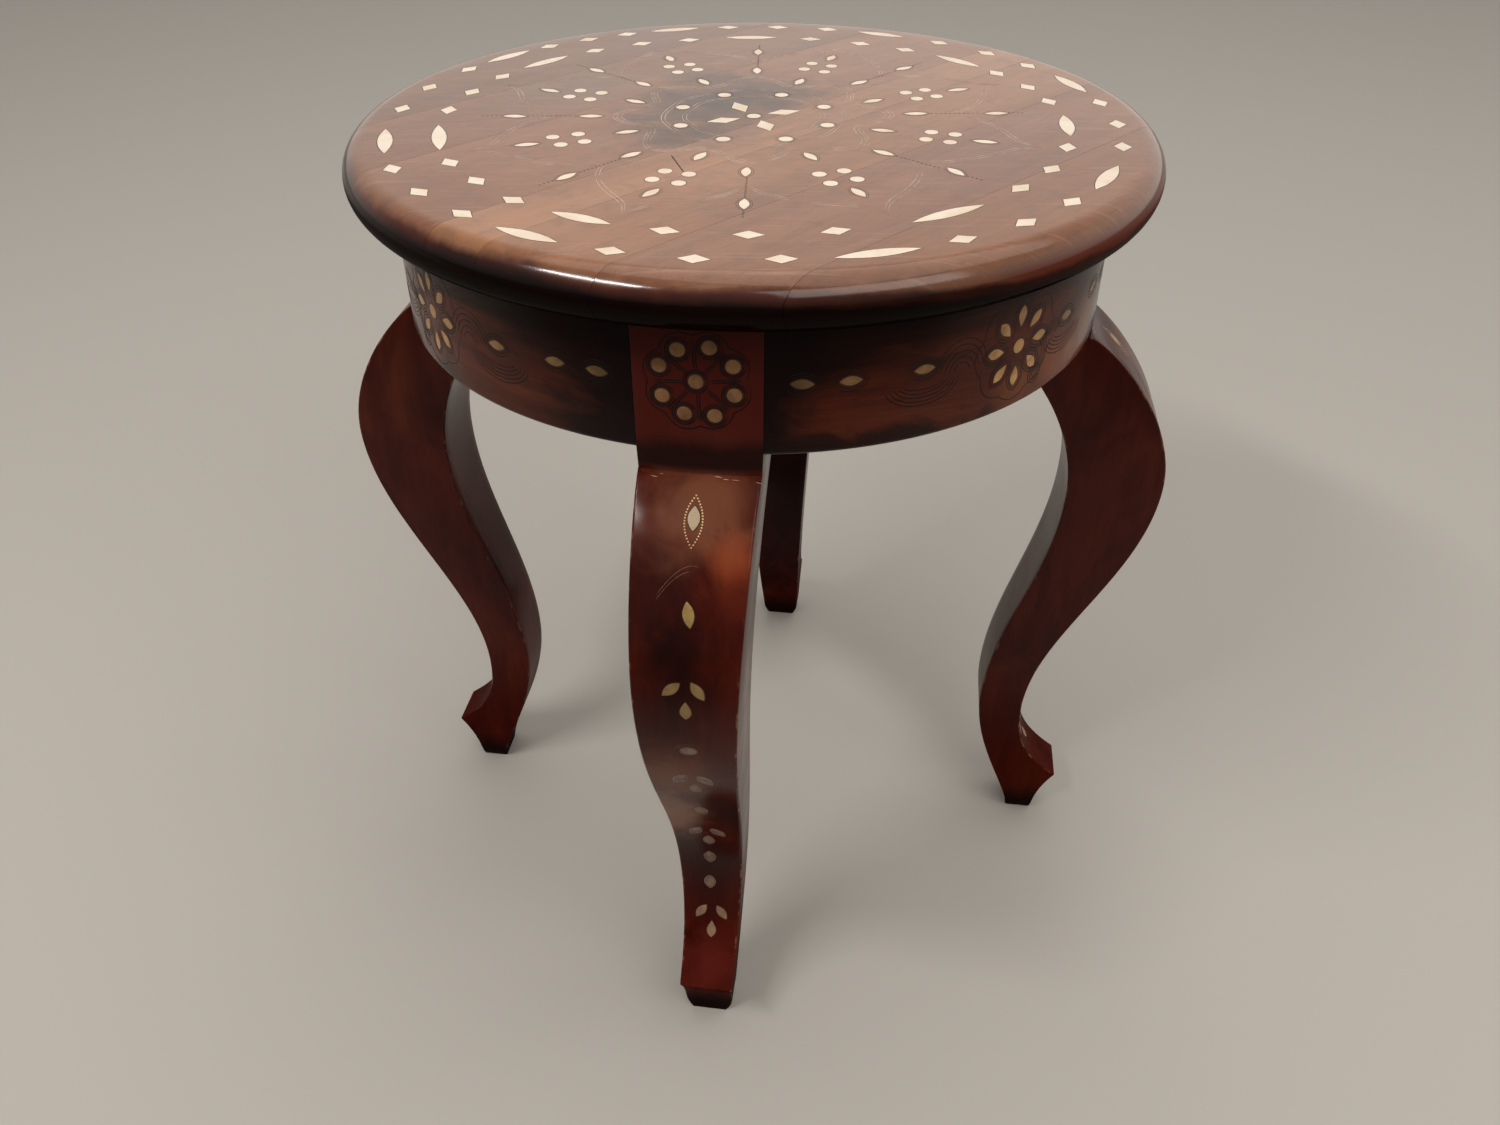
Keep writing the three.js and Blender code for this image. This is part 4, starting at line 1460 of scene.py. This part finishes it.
def makeLegInlay():
    s = legInlay
    rng = np.random.default_rng(s["seed"])
    paths, pale, rose = legPaths(), lines["engravedPale"], lines["engravedRose"]
    for name, angle in legAngles.items():
        surface = onLeg(angle)
        down, length, width = s["boneLeaf"]
        boneSet = [(leafOutline(length, width, 12), [[0.0, down, 90.0]], surface)]
        makeInlay(f"boneKnee{label(name)}", boneSet, boneWorn)
        sets = [(outline, [place], surface) for outline, place in legPieces(rng)]
        start = 0.0
        for part, end in s["finishes"]:
            chosen = [one for one in sets if start <= one[1][0][1] < end]
            makeInlay(f"brass{part}{label(name)}", chosen, brass[part])
            if part == "Worn":
                # These are worn hollow, with a pale line round them
                margin, wide, high = s["rims"]
                rims = [offsetOutline(outline, margin, place) for outline, (place,), _ in chosen]
                makeLines(f"legRims{label(name)}", rims, surface, pale, "leg_wood", wide, high)
            start = end
        makeBeds(f"legGlueLines{label(name)}", sets + boneSet, s["bedMargin"])
        # Dotted brass wire round the bone leaf
        down, length, width = s["lens"]
        lens = offsetOutline(leafOutline(length, width, 18), 0.0, (0.0, down, 90.0))[:-1]
        wire = [(dotOutline(s["wireRadius"], 6), np.column_stack([lens, np.zeros(len(lens))]), surface)]
        makeInlay(f"brassWire{label(name)}", wire, brass["Wire"], proud=0.08)
        makeLines(f"legEngraving{label(name)}", paths, surface, rose, "leg_wood", s["lineWidth"])


makeLegInlay()
print("leg inlay made")

# Chips in the lacquer along the crease of each knee
chips = {
    "count": 6,
    "seed": 21,
    "aside": (8, 25),
    "lengths": (1.2, 4.5),
    "widths": (0.15, 0.32),
    "proud": 0.04,
}


def makeChips():
    c = chips
    rng = np.random.default_rng(c["seed"])
    for name, angle in legAngles.items():
        sets = []
        for _ in range(c["count"]):
            aside = rng.choice([-1, 1]) * rng.uniform(*c["aside"])
            where = [aside, 0.6 + abs(rng.normal(0, 1.0)), rng.normal(0, 5)]
            outline = leafOutline(rng.uniform(*c["lengths"]), rng.uniform(*c["widths"]), 5)
            sets.append((outline, [where], onLeg(angle)))
        makeInlay(f"creaseChips{label(name)}", sets, lines["bareWood"], proud=c["proud"])


makeChips()
print("chips made")

# Hidden pieces keep their own solids: glue blocks and screws
hidden = {
    "block": [(0.13, 0.06, 0.026), (0.22, 0.11, 0.05), (0.32, 0.17, 0.085)],
    "blockWood": {"upright": True, "coat": 0.0, "coatRoughness": (0.62, 0.82), "lacquerBump": 0.12},
    "steel": [(0.3, 0.29, 0.28), (0.58, 0.57, 0.56)],
}
blockWood = woodMaterial("blockWood", *hidden["block"], **hidden["blockWood"])
screwSteel = steelMaterial("screwSteel", *hidden["steel"])
for node, piece in frame["nodes"].items():
    if node.startswith("glue_block") or node.startswith("top_screw"):
        piece.data.materials.clear()
        piece.data.materials.append(blockWood if node.startswith("glue_block") else screwSteel)
print("blocks and screws finished")

# Floor and room, in metres: the room is pale behind the stool and to its right, dim to the left and in front;
# the floor carries a painted shadow in front
stage = {
    "reach": 6.0,
    "roughness": 0.7,
    "floor": (0.44, 0.41, 0.37),
    "floorPaintedShadow": (0.13, 0.12, 0.11),
    "paintedShadowSpan": (-0.8, -0.28),
    "wallSide": (0.9, 0.865, 0.81),
    "roomSide": (0.2, 0.193, 0.183),
    "sideSpan": (-0.55, 0.8),
    "sideLean": 0.6,
    "overhead": (0.3, 0.29, 0.28),
    "overheadSpan": (0.4, 0.8),
}
# Each lamp: place, what it points at, width, height and power
lamps = {
    "key": [(-0.98, -1.02, 1.9), (0, -0.15, 0.4), 0.9, 0.12, 21],
    "window": [(1.24, -1.38, 2.07), (0, 0, 0.4), 2.0, 1.1, 18],
    "top": [(0.3, 0.6, 2.7), (0, 0.1, 0.3), 3.2, 2.6, 32],
}
lampTone = (1, 0.97, 0.93)
view = {
    "focal": 1220.5,
    "wide": 1500.0,
    "sensor": 36.0,
    "place": (0.0757, -0.5832, 0.6165),
    "turn": 7.57,
    "down": 36.8,
}


def makeFloor():
    corners = [(x * stage["reach"], y * stage["reach"], 0) for x, y in ((-1, -1), (1, -1), (1, 1), (-1, 1))]
    mesh = bpy.data.meshes.new("floor")
    mesh.from_pydata(corners, [], [(0, 1, 2, 3)])
    floor = addObject("floor", mesh)
    material, shader, place = newMaterial("floor")
    # The floor in front of the stool is darker: a painted shadow, which the stool's lacquered fronts mirror
    near = spread(split(place["Object"])[1], *stage["paintedShadowSpan"])
    colour = blend(near, stage["floorPaintedShadow"], stage["floor"])
    plug(shader, {"Base Color": colour, "Roughness": stage["roughness"]})
    mesh.materials.append(material)


def makeWorld():
    world = bpy.data.worlds.new("studio")
    bpy.context.scene.world = world
    world.use_nodes = True
    x, y, z = split(addNode("ShaderNodeNewGeometry", {}, world.node_tree)["Position"])
    side = spread(plus(y, times(x, stage["sideLean"])), *stage["sideSpan"])
    colour = blend(side, stage["roomSide"], stage["wallSide"])
    colour = blend(spread(z, *stage["overheadSpan"]), colour, stage["overhead"])
    plug(world.node_tree.nodes["Background"], {"Color": colour})


def addLamp(name, place, target, wide, high, power):
    light = bpy.data.lights.new(name, "AREA")
    light.shape = "RECTANGLE"
    light.size, light.size_y = wide, high
    light.energy, light.color = power, lampTone
    lamp = addObject(name, light)
    x, y, z = np.array(place) - np.array(target)
    lamp.location = place
    lamp.rotation_euler = (math.atan2(math.hypot(x, y), z), 0, math.atan2(y, x) + math.pi / 2)
    lamp.visible_camera = False


def makeCamera():
    data = bpy.data.cameras.new("camera")
    data.sensor_width, data.sensor_fit = view["sensor"], "HORIZONTAL"
    data.lens = view["sensor"] * view["focal"] / view["wide"]
    data.clip_start, data.clip_end = 0.01, 50
    camera = addObject("camera", data)
    camera.location = view["place"]
    camera.rotation_euler = (math.radians(90 - view["down"]), 0, math.radians(view["turn"]))
    bpy.context.scene.camera = camera


makeFloor()
makeWorld()
for name, lamp in lamps.items():
    addLamp(name, *lamp)
makeCamera()
bpy.context.scene.view_settings.view_transform = "Standard"
bpy.context.view_layer.update()
print("stage, camera and sizes done")
